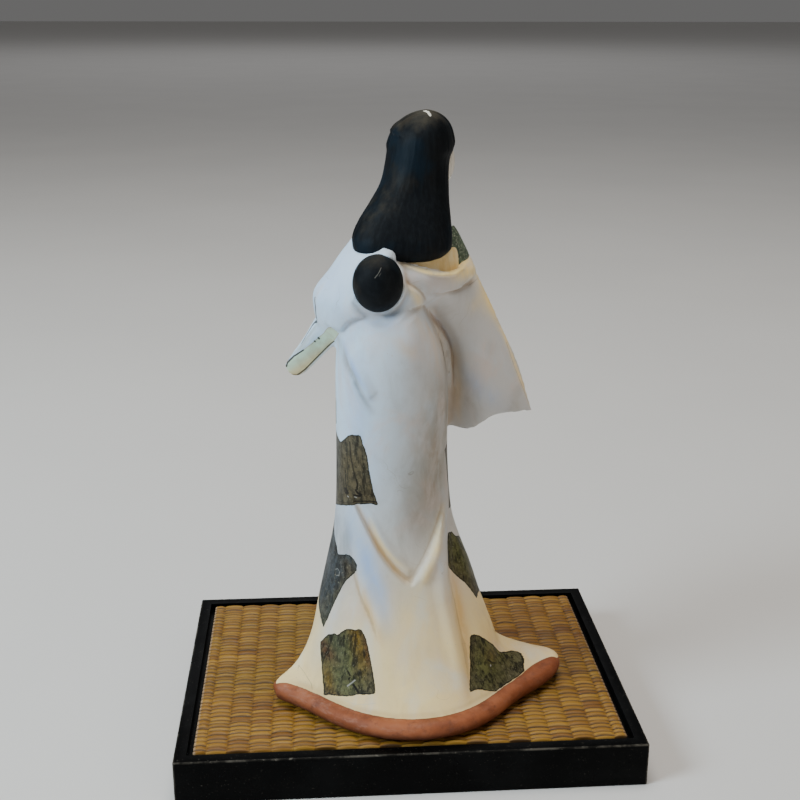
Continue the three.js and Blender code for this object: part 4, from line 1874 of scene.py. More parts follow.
@dataclass(frozen=True)
class Robe:
    """All of the white cloth: body, hem, shoulders, sleeves and the drawn-back collar."""

    body: Body = Body()
    hem: HemRoll = HemRoll()
    shoulders: Shoulders = Shoulders()
    right_sleeve: RightSleeve = RightSleeve()
    left_sleeve: LeftSleeve = LeftSleeve()
    grain: float = 1.52
    collar: Band = Band(
        path=(
            (-3, -24, 212), (-20, -18, 226), (-33, 2, 231.7), (-30.6, 16.5, 229.7), (-21.5, 29, 227.5),
            (-9, 34, 230.5), (5, 33, 234.5), (18, 26, 238), (22, 6, 240), (16, -14, 231),
            (2, -23, 215), (-9, -25, 203),
        ),
        width=Profile(((0, 8), (0.2, 8), (0.38, 10.5), (0.5, 10.5), (0.62, 8), (1, 8))),
        thickness=Profile(((0, 3), (1, 3))),
        lean=-8,
    )
    nape: tuple[Point, Point] = ((8, 27, 212), (16.5, 21, 19))
    head: tuple[float, float] = (14.9, 230)
    head_radii: tuple[float, float] = (12.2, 13.9)
    head_lobe: tuple[Point, Point] = ((10.3, 38.4, 242.0), (5.0, 4.8, 3.9))
    corner: tuple[Point, Point] = ((-29.8, 12.5, 229.8), (6.0, 8.0, 5.0))
    arms: tuple[tuple[Point, float, Point, float], ...] = (
        ((34, -2, 211), 11, (14, -34, 208), 8), ((-30, -8, 212), 9, (-12, -32, 206), 8),
    )
    laps: tuple[Lap, ...] = (
        Lap(((3.9, 238.8), (-1.8, 236.7), (-5.7, 235.3), (-10.6, 233.9), (-15.6, 232.8),
             (-20.1, 232.3), (-23.5, 232), (-26.4, 233), (-29.5, 234.6), (-32.8, 236.4)),
            1.7, 0.5, 2.6, 0.8, (0.1, 0.05)),
        Lap(((-7.9, 224.5), (-11.6, 222.7), (-15.7, 221.4), (-20.5, 220.4), (-24.9, 220.2),
             (-28.8, 220.9), (-32.3, 221.7), (-35.3, 222.6), (-37.6, 223.8)),
            1.7, 0.9, 11, 0.5, (0.3, 0.25)),
        Lap(((4, 233), (2.2, 230), (0.2, 228.5), (-1.6, 227.4), (-3.7, 225.8), (-5.4, 224),
             (-6.7, 222), (-7.9, 219.1), (-7.6, 216.4)), 2.4, 0.8, 12, 0.6, (0.15, 0.2)),
        Lap(CREASE, 2.0, 0.7, 15, 0.9, (0.08, 0.3)),
        Lap(CREASE[::-1], -2.0, 0.7, 7, 0.0, (0.3, 0.12)),
        Lap(((33, 202.1), (31.6, 206.8), (29.7, 210.2), (27.3, 212.2), (24.5, 213.5), (20.7, 214.2),
             (16, 213.6), (11, 213.4), (6.5, 217))[::-1], 2.4, 1.0, 15, 0.5, (0.35, 0.1)),
        Lap(((17, 171), (20.7, 173.9), (23, 178.3), (25.9, 184.5), (28.5, 189.3), (31.2, 195.2),
             (33, 202)), 2.6, 1.1, 8, 1.3, (0.35, 0.1)),
        Lap(((22.6, 166.5), (25.6, 172), (29.0, 178.5), (32.2, 187)), 0.9, 0.9, 7, 0.3, (0.35, 0.3)),
        Lap(((-19.6, 128), (-19.7, 122.4), (-19.9, 109.6), (-20.3, 101.7), (-21.0, 92.8),
             (-21.3, 83.2), (-21.3, 76.1), (-21.8, 68.7), (-23, 61.7), (-24.6, 54.9), (-26, 47.3),
             (-27.5, 39.8), (-29.1, 32.2), (-29.9, 25.2), (-30.7, 16), (-31, 8)),
            2.4, 0.9, 10, 1.3, (0.3, 0.25)),
        Lap(((14.5, 40), (16.2, 46.4), (18, 52.7), (19.9, 57.4), (22.3, 61.7), (24.1, 66.5),
             (25.9, 73), (27.1, 77.9), (29, 88), (31, 100), (32.4, 110)), 1.5, 1.1, 9, 0.6, (0.2, 0.3)),
        Lap(((11.5, 246.2), (13.6, 244.6), (16.5, 243.2), (20.2, 242.4), (23.8, 242.6), (26.4, 243.6),
             (29, 246.5)), -6.5, 0.6, 11, 0.0, (0.1, 0.1)),
    )
    pouch_left: Line = (
        (29.5, 126), (27.5, 118), (25.4, 112.5), (22.9, 107.4), (20.4, 102.4), (17.3, 96.1),
        (14.2, 90.4), (11.1, 85.6), (7.3, 80.9), (3.5, 77), (0.6, 74.6), (-1.6, 73.9),
    )
    pouch_right: Line = (
        (-1.6, 73.9), (-4.2, 77.3), (-6.8, 81.2), (-9.6, 86), (-11.7, 90.4), (-13.8, 95.6),
        (-15.9, 101.7), (-17.4, 107.4), (-18.8, 114), (-19.4, 124),
    )
    pouch_sink: float = 3.2
    pouch_run: float = 24
    pouch_edge: float = 2.2
    pouch_rim: float = 1.3
    pouch_ridge: float = 2.2

    def cloth(self) -> Skin:
        """Join the cloth and work its surface.

        Returns:
            The worked skin.
        """
        lumps = Lumps(
            self.body.form(), self.hem.form(), self.shoulders.form(), self.right_sleeve.form(),
            self.left_sleeve.form(), self.collar.form(150),
        )
        lumps.add(*(ellipsoid(*lobe) for lobe in (self.nape, self.head_lobe, self.corner)))
        lumps.add(*(limb(*arm) for arm in self.arms))
        skin = Skin(refined(lumps.cast("cloth", self.grain), self.is_detailed))
        self.soften(skin)
        self.lay(skin)
        return skin

    def is_detailed(self, skin: Skin) -> Array:
        """Find which points lie where the cloth has fine folds.

        Args:
            skin: the skin of the cloth.

        Returns:
            True or False for each point.
        """
        upper = (skin.z > 168) & (skin.y > 8) & (skin.x > -29) & (skin.x < 42)
        edge = (skin.z > 215) & (skin.y > 4) & (skin.x > -41) & (skin.x < -28)
        lower = (skin.z > 38) & (skin.z < 122) & (skin.y > 18) & (np.abs(skin.x) < 31)
        return upper | edge | lower

    def soften(self, skin: Skin) -> None:
        """Blend the joins of the upper back as wet clay would be.

        Args:
            skin: the skin of the cloth.
        """
        skin.relax(0.5, 4)
        upper = smooth_step(184, 200, skin.z) * (1 - smooth_step(238, 248, skin.z))
        inner = smooth_step(-22, -10, skin.x) * (1 - smooth_step(39, 44, skin.x))
        behind = smooth_step(2, 14, skin.y)
        collar_gap, _ = nearest_on_line(self.laps[0].line, skin.x, skin.z)
        clear = smooth_step(1.5, 5, collar_gap)
        skin.relax(0.6 * upper * inner * behind * clear, 60)

    def lay(self, skin: Skin) -> None:
        """Lay the edges of the cloth over each other on her back, and seat the head.

        Args:
            skin: the skin of the cloth.
        """
        behind = smooth_step(0.05, 0.4, skin.normals()[:, 1]) * smooth_step(2, 9, skin.y)
        rise = sum(lap.rise(skin.x, skin.z) for lap in self.laps)
        skin.points[:, 1] += (rise + self.pouch_rise(skin.x, skin.z)) * behind
        self.seat(skin)
        skin.relax(0.4, 1)

    def pouch_rise(self, x: Array, z: Array) -> Array:
        """Find how far the cloth stands out round the lower edge of the bundle.

        Args:
            x: how far to her left the places lie.
            z: how high they lie.

        Returns:
            The heights.
        """
        inside = depth_inside(self.pouch_left + self.pouch_right, x, z) > 0
        left, left_share = nearest_on_line(self.pouch_left, x, z)
        right, right_share = nearest_on_line(self.pouch_right, x, z)
        run = np.where(inside, self.pouch_run, self.pouch_edge)
        left_sink = (1 - smooth_step(0, run, left)) * smooth_step(0, 0.25, left_share)
        right_sink = (1 - smooth_step(0, run, right)) * smooth_step(0, 0.3, 1 - right_share)
        sink = 1 - (1 - left_sink) * (1 - right_sink)
        rim = bell(left - 3.4, 2.2) * smooth_step(0.1, 0.4, left_share)
        rim = rim * smooth_step(0, 0.2, 1 - left_share)
        ridge = bell(right - 4.4, 3.4) * smooth_step(0, 0.2, right_share)
        ridge = ridge * smooth_step(0, 0.35, 1 - right_share)
        raised = np.where(inside, self.pouch_rim * rim, self.pouch_ridge * ridge)
        return raised - self.pouch_sink * sink

    def seat(self, skin: Skin) -> None:
        """Form a shallow seat with a thin raised rim round the child's head.

        Args:
            skin: the skin of the cloth.
        """
        away_x, away_z = skin.x - self.head[0], skin.z - self.head[1]
        place = np.hypot(away_x / self.head_radii[0], away_z / self.head_radii[1])
        gap = (place - 1) * self.head_radii[0]
        seat_y = 43.6 + 0.10 * away_z
        hold = (1 - smooth_step(0.6, 6.0, gap)) * (skin.y > 20) * (skin.z > 205)
        skin.points[:, 1] = mix(skin.y, np.minimum(skin.y, seat_y), hold)
        sideways = mix(0.3, 1, smooth_step(-2, 7, -away_x))
        raised = 0.9 * sideways * bell(gap - 0.4, 0.6) - 0.25 * bell(gap - 1.9, 0.8)
        skin.points[:, 1] += raised * (skin.y > 24) * smooth_step(0.0, 0.4, skin.normals()[:, 1])


# Soft bands of colour on her back, painted light and shade among them, each with its half width, its
# strength and its middle.
WASHES: dict[Tint, tuple[SoftLine, ...]] = {
    # Painted cool light and bluish highlights.
    Tint.COOL: (
        SoftLine(1.5, 0.8, ((31.6, 199), (26.6, 188.6), (24, 184), (19, 173.9))),
        SoftLine(4.5, 0.6, ((-32, 178), (-41, 166), (-52, 158))),
        SoftLine(5.4, 1.15, ((29.0, 114), (25.0, 98), (21.8, 86), (17.6, 73), (13.3, 62.2),
            (10.5, 52))),
        SoftLine(6, 0.5, ((34.2, 103), (33.5, 92), (35, 78), (38, 66))),
        SoftLine(4.5, 0.8, ((36, 62), (39, 48), (43, 36), (50, 24))),
        SoftLine(12, 0.45, ((30, 244), (37, 226), (40, 210))),
        SoftLine(7, 0.6, ((28, 200), (26, 180), (24, 150), (20, 128))),
        SoftLine(4, 0.7, ((24, 212), (14, 212), (4, 213))),
        SoftLine(1.0, 0.7, ((-12.4, 209.5), (-17.6, 202.8), (-21.3, 196.9), (-24, 190))),
    ),
    # Painted warm light and highlights, over some cream paint.
    Tint.CREAM: (
        SoftLine(2.0, 1.4, ((-37.1, 228), (-39.4, 223.4), (-44.6, 210.7), (-50, 198))),
        SoftLine(0.9, 1.3, ((-50, 198), (-53, 192.1), (-59.8, 174.3), (-67.6, 155))),
        SoftLine(3.0, 0.5, ((-37, 221), (-41, 212), (-44, 204))),
        SoftLine(4.0, 0.35, ((-32, 214), (-38, 209))),
        SoftLine(4.2, 1.6, ((-23, 231.8), (-28, 230.6), (-32, 231), (-36, 227))),
        SoftLine(1.0, 1.3, ((4, 238.4), (-1.8, 236.2), (-5.7, 234.9), (-10.6, 233.4), (-15.6, 232.3),
            (-20.1, 231.8), (-26, 232.3), (-32, 235.4))),
        SoftLine(2.2, 1.0, ((3, 229.4), (-1.6, 226), (-4.4, 222.6), (-6, 218))),
        SoftLine(2.6, 1.1, ((-5, 69.8), (-8, 74.8), (-11.3, 82.1), (-14.8, 90.4), (-16.9, 98.6),
            (-18.8, 108))),
        SoftLine(1.3, 0.9, ((19, 106), (16, 98), (12.4, 91), (6, 84), (0, 79))),
        SoftLine(15, 0.7, ((12, 48), (-3, 54), (-16, 40), (-5, 12))),
        SoftLine(9, 0.7, ((40, 52), (47, 34), (57, 17), (66, 8))),
        SoftLine(8, 0.8, ((-34, 64), (-42, 42), (-56, 26))),
        SoftLine(12, 0.7, ((24, 40), (10, 24), (-10, 14), (-30, 14))),
        SoftLine(3.0, 0.7, ((47, 187), (52, 181), (57, 177))),
        SoftLine(1.4, 0.9, ((37, 189.5), (47, 179.6), (54.5, 172.6))),
    ),
    Tint.SHADE: (
        SoftLine(1.8, 1.0, ((34, 199), (30, 189.3), (27.4, 184.5), (22.2, 173.9), (18, 167))),
        SoftLine(1.2, 0.4, ((30.6, 209), (27.3, 212.2), (20.7, 214.2), (11, 213.4))),
        SoftLine(15, 0.85, ((-10, 178), (-10, 150), (-6, 128), (-2, 106), (0, 88))),
        SoftLine(6.5, 0.7, ((-18, 186), (-18.4, 168), (-17, 147), (-16, 122), (-17.5, 100))),
        SoftLine(7, 0.6, ((-24, 197), (-27.5, 180), (-30, 164), (-33, 148))),
        SoftLine(6, 0.9, ((33.6, 104), (33, 93), (34.2, 80), (38, 66))),
        SoftLine(5, 0.5, ((-46, 160), (-56, 157), (-62, 157))),
        SoftLine(4, 1.0, ((46, 206), (48, 199), (53, 191), (58, 185))),
    ),
    Tint.TAN: (
        # Painted shade on the sleeve beside the crease.
        SoftLine(2.2, 0.45, ((-25.6, 190), (-26.8, 178), (-28, 162), (-28.5, 148))),
        SoftLine(1.7, 1.0, ((25.4, 112.5), (20.4, 102.4), (14.2, 90.4), (7.3, 80.9), (0.6, 74.6),
            (-1.6, 73.9))),
        SoftLine(2.4, 0.85, ((27.1, 77.9), (24.1, 66.5), (20.6, 58.6), (17.6, 50.7), (15, 42))),
        SoftLine(2.6, 1.0, ((-23.4, 80), (-24.5, 74.3), (-26.3, 61.1), (-28.2, 51.9), (-30, 41.8),
            (-31.6, 32.3), (-32, 20))),
        SoftLine(4.5, 0.40, ((-2, 214), (-10, 206), (-15, 197), (-18, 186))),
        SoftLine(3.0, 0.35, ((8, 205), (2, 199), (-4, 196))),
        SoftLine(5.0, 0.35, ((-38, 45), (-48, 30), (-60, 20))),
    ),
    # Painted shade in the creases.
    Tint.GRIME: (
        SoftLine(1.3, 0.7, ((2.6, 238.6), (1.5, 233.2), (0.6, 230), (-0.4, 228))),
        SoftLine(0.7, 0.25, ((-28.8, 220.9), (-32.3, 221.7), (-35.3, 222.6), (-37.6, 223.8))),
        SoftLine(0.9, 0.2, ((-9, 223.8), (-15.7, 221.4), (-24.9, 220.2), (-31, 221.4))),
        SoftLine(0.7, 0.6, CREASE[:9]),
        SoftLine(1.1, 0.35, ((2, 75.8), (-1.6, 73.9), (-4.2, 77.3))),
    ),
    # Painted cool light on the patches on her left side.
    Tint.SLATE: (
        SoftLine(9, 1.3, ((33, 100), (37, 84), (41, 72), (45, 58), (50, 44))),
        SoftLine(3, 1.3, ((38, 160), (37, 145), (37.6, 128), (38.6, 112), (40, 96))),
        SoftLine(5, 0.4, ((38, 50), (36, 36), (34, 18))),
        SoftLine(6, 0.7, ((38, 84), (31, 80), (27, 76))),
    ),
    Tint.OLIVE: (
        SoftLine(15, 1.3, ((-34, 28), (-46, 26), (-58, 22))),
        SoftLine(10, 1.2, ((40, 52), (34, 32), (32, 8))),
        SoftLine(7, 0.9, ((-22, 92), (-30, 78), (-38, 66))),
    ),
    Tint.GILT: (
        SoftLine(3.4, 1.2, ((30, 52), (27, 44.5), (25.4, 37), (25.2, 28))),
        SoftLine(2.6, 0.8, ((43, 25), (42, 19), (41, 12))),
        SoftLine(3.0, 0.3, ((34, 82), (31, 78), (30, 72))),
        SoftLine(3.4, 0.45, ((-41, 30), (-46, 25), (-50, 22))),
    ),
    Tint.RUST: (
        SoftLine(3.4, 1.0, ((46, 36), (42.5, 31.5), (39, 29))),
        SoftLine(1.5, 1.0, ((23.5, 46), (22, 38), (21, 30))),
        SoftLine(2.0, 0.6, ((43, 13.5), (37, 12.5), (32, 12))),
        SoftLine(2.6, 0.5, ((-40, 38), (-47, 34), (-52, 28))),
    ),
}


@dataclass(frozen=True)
class Patch:
    """A dark painted patch, outlined by (degrees round the robe, height) points."""

    outline: Line
    radius: float

    def depth(self, turned: Array, height: Array) -> Array:
        """Find how far inside the patch each point lies.

        Args:
            turned: directions of the points in degrees.
            height: how high they lie.

        Returns:
            The distances in grid parts, negative outside the patch.
        """
        scale = math.radians(1) * self.radius
        outline = tuple((angle * scale, z) for angle, z in self.outline)
        return depth_inside(outline, turned * scale, height)


PATCHES: tuple[Patch, ...] = (
    Patch(((-22, 148), (0, 147), (14, 146), (29, 144.3), (39, 148), (44, 150.5), (48, 151.7),
           (59.5, 153.3), (61, 151), (65.6, 143), (67.3, 133.5), (69.8, 125), (74.2, 114),
           (66.9, 114.7), (50.5, 112.8), (14, 106), (0, 103.5), (-16, 104)), 31.5),
    Patch(((-14, 96), (4, 93), (15, 88.8), (25, 86), (29, 82.3), (34.4, 82.9), (41, 84.3),
           (47, 84.2), (52.4, 83.8), (55.6, 81.4), (54.6, 78.5), (48, 74.4), (43, 71.3), (38.4, 66.2),
           (32, 58.4), (27, 50.8), (20.5, 41.6), (18, 43.3), (13, 46.4), (0, 52), (-12, 58)), 36.5),
    Patch(((19.6, 33.7), (22.2, 36.6), (26.5, 39.9), (32.6, 42.4), (36, 42.1), (38.3, 44), (42.5, 46.5),
           (46.5, 47.6), (50.4, 47.3), (53.7, 48.5), (55.7, 48.1), (57.4, 46.1), (59, 43.9),
           (61.4, 34.9), (63.9, 26.2), (65.8, 18.7), (62.2, 17.9), (55.2, 17), (49.3, 15.1),
           (43.1, 13.7), (36.8, 12.7), (32.3, 11.3), (26.2, 21.7)), 45),
    Patch(((145.6, 39), (148.5, 38.9), (152.1, 36.9), (157.6, 32.5), (164.2, 27.1), (167.5, 22),
           (171.1, 20.6), (176.1, 18.8), (177.4, 17.2), (175.2, 16), (170.7, 13.8), (167.1, 11.2),
           (162.5, 8.6), (154.4, 9), (148.6, 10), (145.4, 10.2), (140.7, 12.4), (136, 14.3),
           (128, 15.3), (137.4, 26.2)), 53),
    Patch(((153.6, 91.6), (159.3, 91), (163.5, 87.5), (170, 86), (184, 80), (196, 62), (188, 44),
           (174.8, 53.8), (168, 55), (161.9, 53.8), (157.2, 59.9), (151, 67.8), (142.5, 74.8),
           (141, 77), (146, 86)), 38),
    Patch(((150, 139), (158.3, 127.6), (164, 115), (158.6, 104), (170, 103), (188, 104), (196, 122),
           (184, 140), (166, 142)), 31),
    Patch(((-8, 168), (2, 165), (10, 163.5), (10, 151), (0, 149), (-10, 152)), 29),
    Patch(((222, 62), (236, 66), (252, 63), (258, 60), (256, 38), (250, 20), (238, 23), (224, 19)), 42),
    Patch(((282, 132), (300, 137), (318, 133), (322, 112), (312, 96), (296, 99), (284, 108)), 31),
    Patch(((300, 52), (312, 57), (326, 54), (334, 40), (328, 21), (312, 17), (298, 24)), 44),
)


# Head, hair, hands and collars


@dataclass(frozen=True)
class Hair:
    """A cap over the head that falls down her back and spreads over the left shoulder."""

    top: float = 306.4
    foot: float = 238
    crown_foot: float = 284
    crown_tilt: float = 0.16
    crown_ridge_x: float = -11
    left: Profile = Profile(
        ((236, 17), (240, 24.5), (246, 26.4), (250, 26), (256, 23), (264, 17.4), (273, 11.9),
         (282, 9.4), (290, 8.4), (297, 7.7), (307, 7.6))
    )
    right: Profile = Profile(
        ((236, -17), (240, -21), (247, -22.6), (256, -22.3), (264, -21.8), (273, -21.9),
         (281, -22.4), (285.5, -23.2), (289, -24.7), (297, -25.1), (307, -26))
    )
    back: Profile = Profile(
        ((236, 36.5), (246, 36), (257, 31.5), (271, 25), (285, 22), (307, 21))
    )
    front: Profile = Profile(((236, 10), (250, 5), (268, -4), (282, -14), (307, -15)))
    row_crowding: float = 1.35
    crown_power: float = 3
    crown_root: float = 0.46
    crown_margin: float = 0.3
    foot_share: float = 0.75
    foot_height: float = 5
    foot_corner: float = 2.6
    comb_depth: float = 0.16
    roll_height: float = 0.8
    roll_y: float = 5.0
    cap_left: tuple[float, float] = (7.1, 297.0)
    cap_slope: float = 0.30
    cap_step: float = 0.8
    comb_lines: tuple[int, ...] = (31, 47, 73)

    def place(self, angle: Array, rise: Array, reach: Array) -> Array:
        """Place the hair's points.

        Args:
            angle: angles round it.
            rise: shares of its height.
            reach: 0 in the middle of an end, 1 on the outside.

        Returns:
            The points, one row each.
        """
        height = mix(self.foot, self.top, 1 - (1 - rise) ** self.row_crowding)
        crown = clamp01((height - self.crown_foot) / (self.top - self.crown_foot + self.crown_margin))
        dome = (1 - crown**self.crown_power) ** self.crown_root
        foot_rise = np.sqrt(clamp01((height - self.foot) / self.foot_height))
        foot = mix(self.foot_share, 1, foot_rise)
        across, away = np.cos(angle), np.sin(angle)
        left, right = self.left(height), self.right(height)
        back, front = self.back(height), self.front(height)
        corner = mix(self.foot_corner, 2, smooth_step(255, 285, height))
        scale = squareness(across, away, corner) * dome * foot * reach
        strand = sum(np.sin(angle * count + count + height * 0.03) for count in self.comb_lines)
        scale = scale * (1 - self.comb_depth / 20 * (1 + strand / 3) * (1 - crown**2))
        x = (left + right) / 2 + across * (left - right) / 2 * scale
        y = (back + front) / 2 + away * (back - front) / 2 * scale
        tilt = crown * self.crown_tilt * np.maximum(0, x - self.crown_ridge_x)
        cap_edge = self.cap_left[1] + self.cap_slope * (x - self.cap_left[0])
        cap = smooth_step(-0.5, 0.5, height - tilt - cap_edge) * smooth_step(0.5, 3.0, x)
        cap = self.cap_step * cap * (1 - smooth_step(3, 8, height - tilt - cap_edge))
        x, y = x + cap * across, y + cap * away
        roll = self.roll_height * (1 - smooth_step(self.roll_y - 1, self.roll_y + 0.6, y))
        roll = roll * smooth_step(288, 292, height)
        x = x + np.sign(across) * roll * (1 - crown**4)
        return np.stack([x, y, height - tilt + roll * crown], axis=1)

    def form(self) -> Form:
        """Return the hair as a closed form."""
        return loft(132, 72, self.place)


@dataclass(frozen=True)
class Head:
    """A calm doll's face of smooth clay, turned a little to her right, on its neck.

    Attributes:
        features: for the wings of the nose, the lips, the chin, the sockets and the lids, how
            far they lie from the face's middle and up, half of their width and height, and how
            far they stand out.
    """

    centre: Point = (-12.4, -5.5, 281)
    radii: Point = (13.8, 15.5, 17.5)
    turn: float = -14.0
    chin: float = 0.30
    neck_foot: Point = (-4, 3, 238)
    neck_top: Point = (-7, 0, 272)
    neck_radius: float = 8.6
    features: tuple[tuple[float, ...], ...] = (
        (1.5, -2.9, 1.0, 1.0, 0.5), (0.0, -7.2, 2.1, 1.2, 0.75), (0.0, -12.5, 3.4, 2.4, 0.7),
        (4.9, 1.6, 3.2, 2.2, -0.55), (4.9, 1.4, 2.4, 1.0, 0.28),
    )

    def turned(self) -> Array:
        """Return the turn of the head as a matrix."""
        return np.array(Matrix.Rotation(math.radians(self.turn), 3, "Z"))

    def place(self, way: Array) -> Array:
        """Place the face's points.

        Args:
            way: directions from its middle, one row each.

        Returns:
            The points, one row each.
        """
        shape = way * np.array(self.radii)
        low = np.maximum(0, -way[:, 2])
        shape[:, 0] *= 1 - self.chin * low**2.1
        shape[:, 1] *= 1 - 0.16 * low**2
        front = smooth_step(0.25, 0.7, -way[:, 1])
        across, up = shape[:, 0], shape[:, 2]
        nose_run = smooth_step(-4.0, -2.4, up) * (1 - smooth_step(-2.4, 5.5, up))
        relief = 2.1 * nose_run * bell(across, 1.5)
        for middle, height, half_across, half_up, out in self.features:
            away = np.hypot((np.abs(across) - middle) / half_across, (up - height) / half_up)
            relief = relief + out * bell(away, 1.0)
        shape[:, 1] -= front * relief
        return shape @ self.turned().T + np.array(self.centre)

    def mesh(self) -> bpy.types.Mesh:
        """Return the face and its neck side by side."""
        neck = limb(self.neck_foot, self.neck_radius + 1, self.neck_top, self.neck_radius)
        return Lumps(ball(80, 60, self.place), neck).mesh("head")

    def values(self, skin: Skin) -> dict[str, Array]:
        """Work out what the paint of the face reads on each point.

        Args:
            skin: the skin of the figure.

        Returns:
            The places across and up the face in grid parts, far off it for points behind.
        """
        local = (skin.points - np.array(self.centre)) @ self.turned()
        across, _, up = np.where(local[:, 1:2] > -2, 99.0, local).T
        return {"face_across": across, "face_up": up}


@dataclass(frozen=True)
class Hands:
    """Two small hands drawn together before the chest."""

    left: Point = (7.5, -39, 207)
    right: Point = (-7.0, -38, 204.5)
    grain: float = 0.55

    def hand(self, wrist: Point, side: int) -> list[Form]:
        """Make one hand.

        Args:
            wrist: where it is.
            side: 1 for her left hand and -1 for her right.

        Returns:
            The forms of its palm, fingers and thumb.
        """
        x, y, z = wrist
        forms = [ellipsoid(wrist, (3.6, 5.2, 3.0), 24, 16)]
        for index in range(4):
            up = 2.1 - index * 1.45
            knuckle = (x - side * 0.4, y - 3.2, z + up)
            tip = (x - side * (5.8 - abs(index - 1) * 0.5), y - 5.6, z + up - 0.6)
            forms.append(limb(knuckle, 1.15, tip, 0.85))
        root, tip = (x - side * 1.0, y + 0.5, z + 2.4), (x - side * 4.6, y - 2.6, z + 4.0)
        return [*forms, limb(root, 1.3, tip, 0.9)]

    def mesh(self) -> bpy.types.Mesh:
        """Return both hands as one mesh."""
        forms = self.hand(self.left, 1) + self.hand(self.right, -1)
        return Lumps(*forms).cast("hands", self.grain)


@dataclass(frozen=True)
class Collars:
    """The collars inside the robe's: a tan one behind and a green one round the front."""

    tan: Band = Band(
        path=(
            (-27.5, 5, 235), (-25, 16, 236), (-17, 26.5, 236), (-5, 30.5, 237), (9, 27, 240),
            (19, 12, 242),
        ),
        width=Profile(((0, 3), (0.16, 11), (0.5, 13), (1, 10))),
        thickness=Profile(((0, 2.4), (1, 2.4))),
        lean=-12,
    )
    green: Band = Band(
        path=(
            (-19.5, 15.5, 241.5), (-26.0, 11, 241.6), (-29.4, 3, 241.8), (-28, -6, 238),
            (-20, -15, 229), (-10, -20, 219), (0, -24, 208),
        ),
        width=Profile(((0, 17), (0.34, 17), (0.6, 13), (0.8, 9), (1, 7))),
        thickness=Profile(((0, 2.2), (1, 2.4))),
        lean=27,
    )
    green_left: Band = Band(
        path=((-6, -24, 209), (8, -20, 226), (17, -8, 238), (19, 6, 244), (14, 18, 246)),
        width=Profile(((0, 8), (0.5, 10), (1, 9))),
        thickness=Profile(((0, 2.4), (1, 2.2))),
        lean=-14,
    )


@dataclass(frozen=True)
class Figure:
    """The whole clay figure, joined into one piece.

    Attributes:
        child: middle and radii of the child's head.
        sharp: angle in degrees above which an edge is shaded as sharp.
        seam: how many degrees before a full turn the directions start again below zero.
        patches_top: height above which there are no patches.
        far: the depth that stands for no patch.
    """

    robe: Robe = Robe()
    hair: Hair = Hair()
    head: Head = Head()
    hands: Hands = Hands()
    collars: Collars = Collars()
    child: tuple[Point, Point] = ((14.9, 41.5, 230), (12.2, 12.0, 13.9))
    sharp: float = 50
    seam: float = 20
    patches_top: float = 172
    far: float = -9.0

    def shells(self) -> list[tuple[Part, bpy.types.Mesh]]:
        """Make the parts that are joined to the cloth.

        Returns:
            Each part and its closed mesh.
        """
        collars = self.collars
        return [
            (Part.HAIR, Lumps(self.hair.form()).mesh("hair")),
            (Part.CHILD, Lumps(ellipsoid(*self.child, 72, 56)).mesh("child")),
            (Part.SKIN, self.head.mesh()),
            (Part.SKIN, self.hands.mesh()),
            (Part.LINING, Lumps(collars.tan.form(70)).mesh("tan")),
            (Part.COLLAR, Lumps(collars.green.form(80), collars.green_left.form(60)).mesh("green")),
        ]

    def joined(self, cloth: bpy.types.Mesh) -> bpy.types.Mesh:
        """Join the shells to the cloth so that nothing is left inside.

        Args:
            cloth: the cloth, which is used up.

        Returns:
            The whole figure.
        """
        whole = cloth
        shells = self.shells()
        paints = finishes()
        for mesh in (cloth, *(shell for _, shell in shells)):
            mesh.materials.clear()
            for material in paints:
                mesh.materials.append(material)
        for part, mesh in shells:
            mesh.polygons.foreach_set("material_index", [int(part)] * len(mesh.polygons))
            other = linked(mesh.name, mesh)
            whole = melted(
                whole, "figure", "BOOLEAN", operation="UNION", solver="MANIFOLD", object=other
            )
            bpy.data.objects.remove(other)
            bpy.data.meshes.remove(mesh)
            log.info("joined %s: %d points", part.name, len(whole.vertices))
        return whole

    def dress(self, skin: Skin) -> None:
        """Store what the paints read on each point.

        Args:
            skin: the skin of the whole figure.
        """
        body = self.robe.body
        away_x = skin.x - body.middle_x(skin.z)
        away_y = skin.y - body.middle_y(skin.z)
        turned = np.degrees(np.arctan2(away_y, away_x)) % FULL_TURN
        turned = np.where(turned > FULL_TURN - self.seam, turned - FULL_TURN, turned)
        patch = np.full(skin.count, self.far)
        for each in PATCHES:
            patch = np.maximum(patch, each.depth(turned, skin.z))
            patch = np.maximum(patch, each.depth(turned + FULL_TURN, skin.z))
        on_body = np.hypot(away_x, away_y) < self.body_reach(skin.z)
        patch = np.where(on_body & (skin.z < self.patches_top), patch, self.far)
        values = {"patch": patch, "hollow": skin.hollows(10)}
        for piece in (self.robe.hem, self.robe.left_sleeve, self.head):
            values |= piece.values(skin)
        values["patch"] = np.minimum(patch, -values["hem"] - 0.3)
        for tint, washes in WASHES.items():
            spread = sum(wash.at(skin.x, skin.z) for wash in washes)
            values[tint.value] = np.where(skin.y > 0, spread, 0.0)
        for name, value in values.items():
            skin.keep(name, value)

    def body_reach(self, height: Array) -> Array:
        """Return how far from the middle a point may lie and still be on the robe's body."""
        return np.where(height < 30, 95.0, np.where(height < 120, 60.0, 44.0))

    def build(self) -> bpy.types.Object:
        """Build the figure.

        Returns:
            The finished piece.
        """
        low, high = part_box("figure")
        cloth = self.robe.cloth()
        cloth.save()
        log.info("cloth: %d points", cloth.count)
        mesh = self.joined(cloth.mesh)
        skin = Skin(mesh)
        self.dress(skin)
        scale = (high.z - low.z) / GRID_PARTS
        skin.points = skin.points * scale + np.array([0, 0, low.z])
        skin.save()
        mesh.shade_smooth()
        mesh.set_sharp_from_angle(angle=math.radians(self.sharp))
        return placed("figure_painted", mesh, "figure")


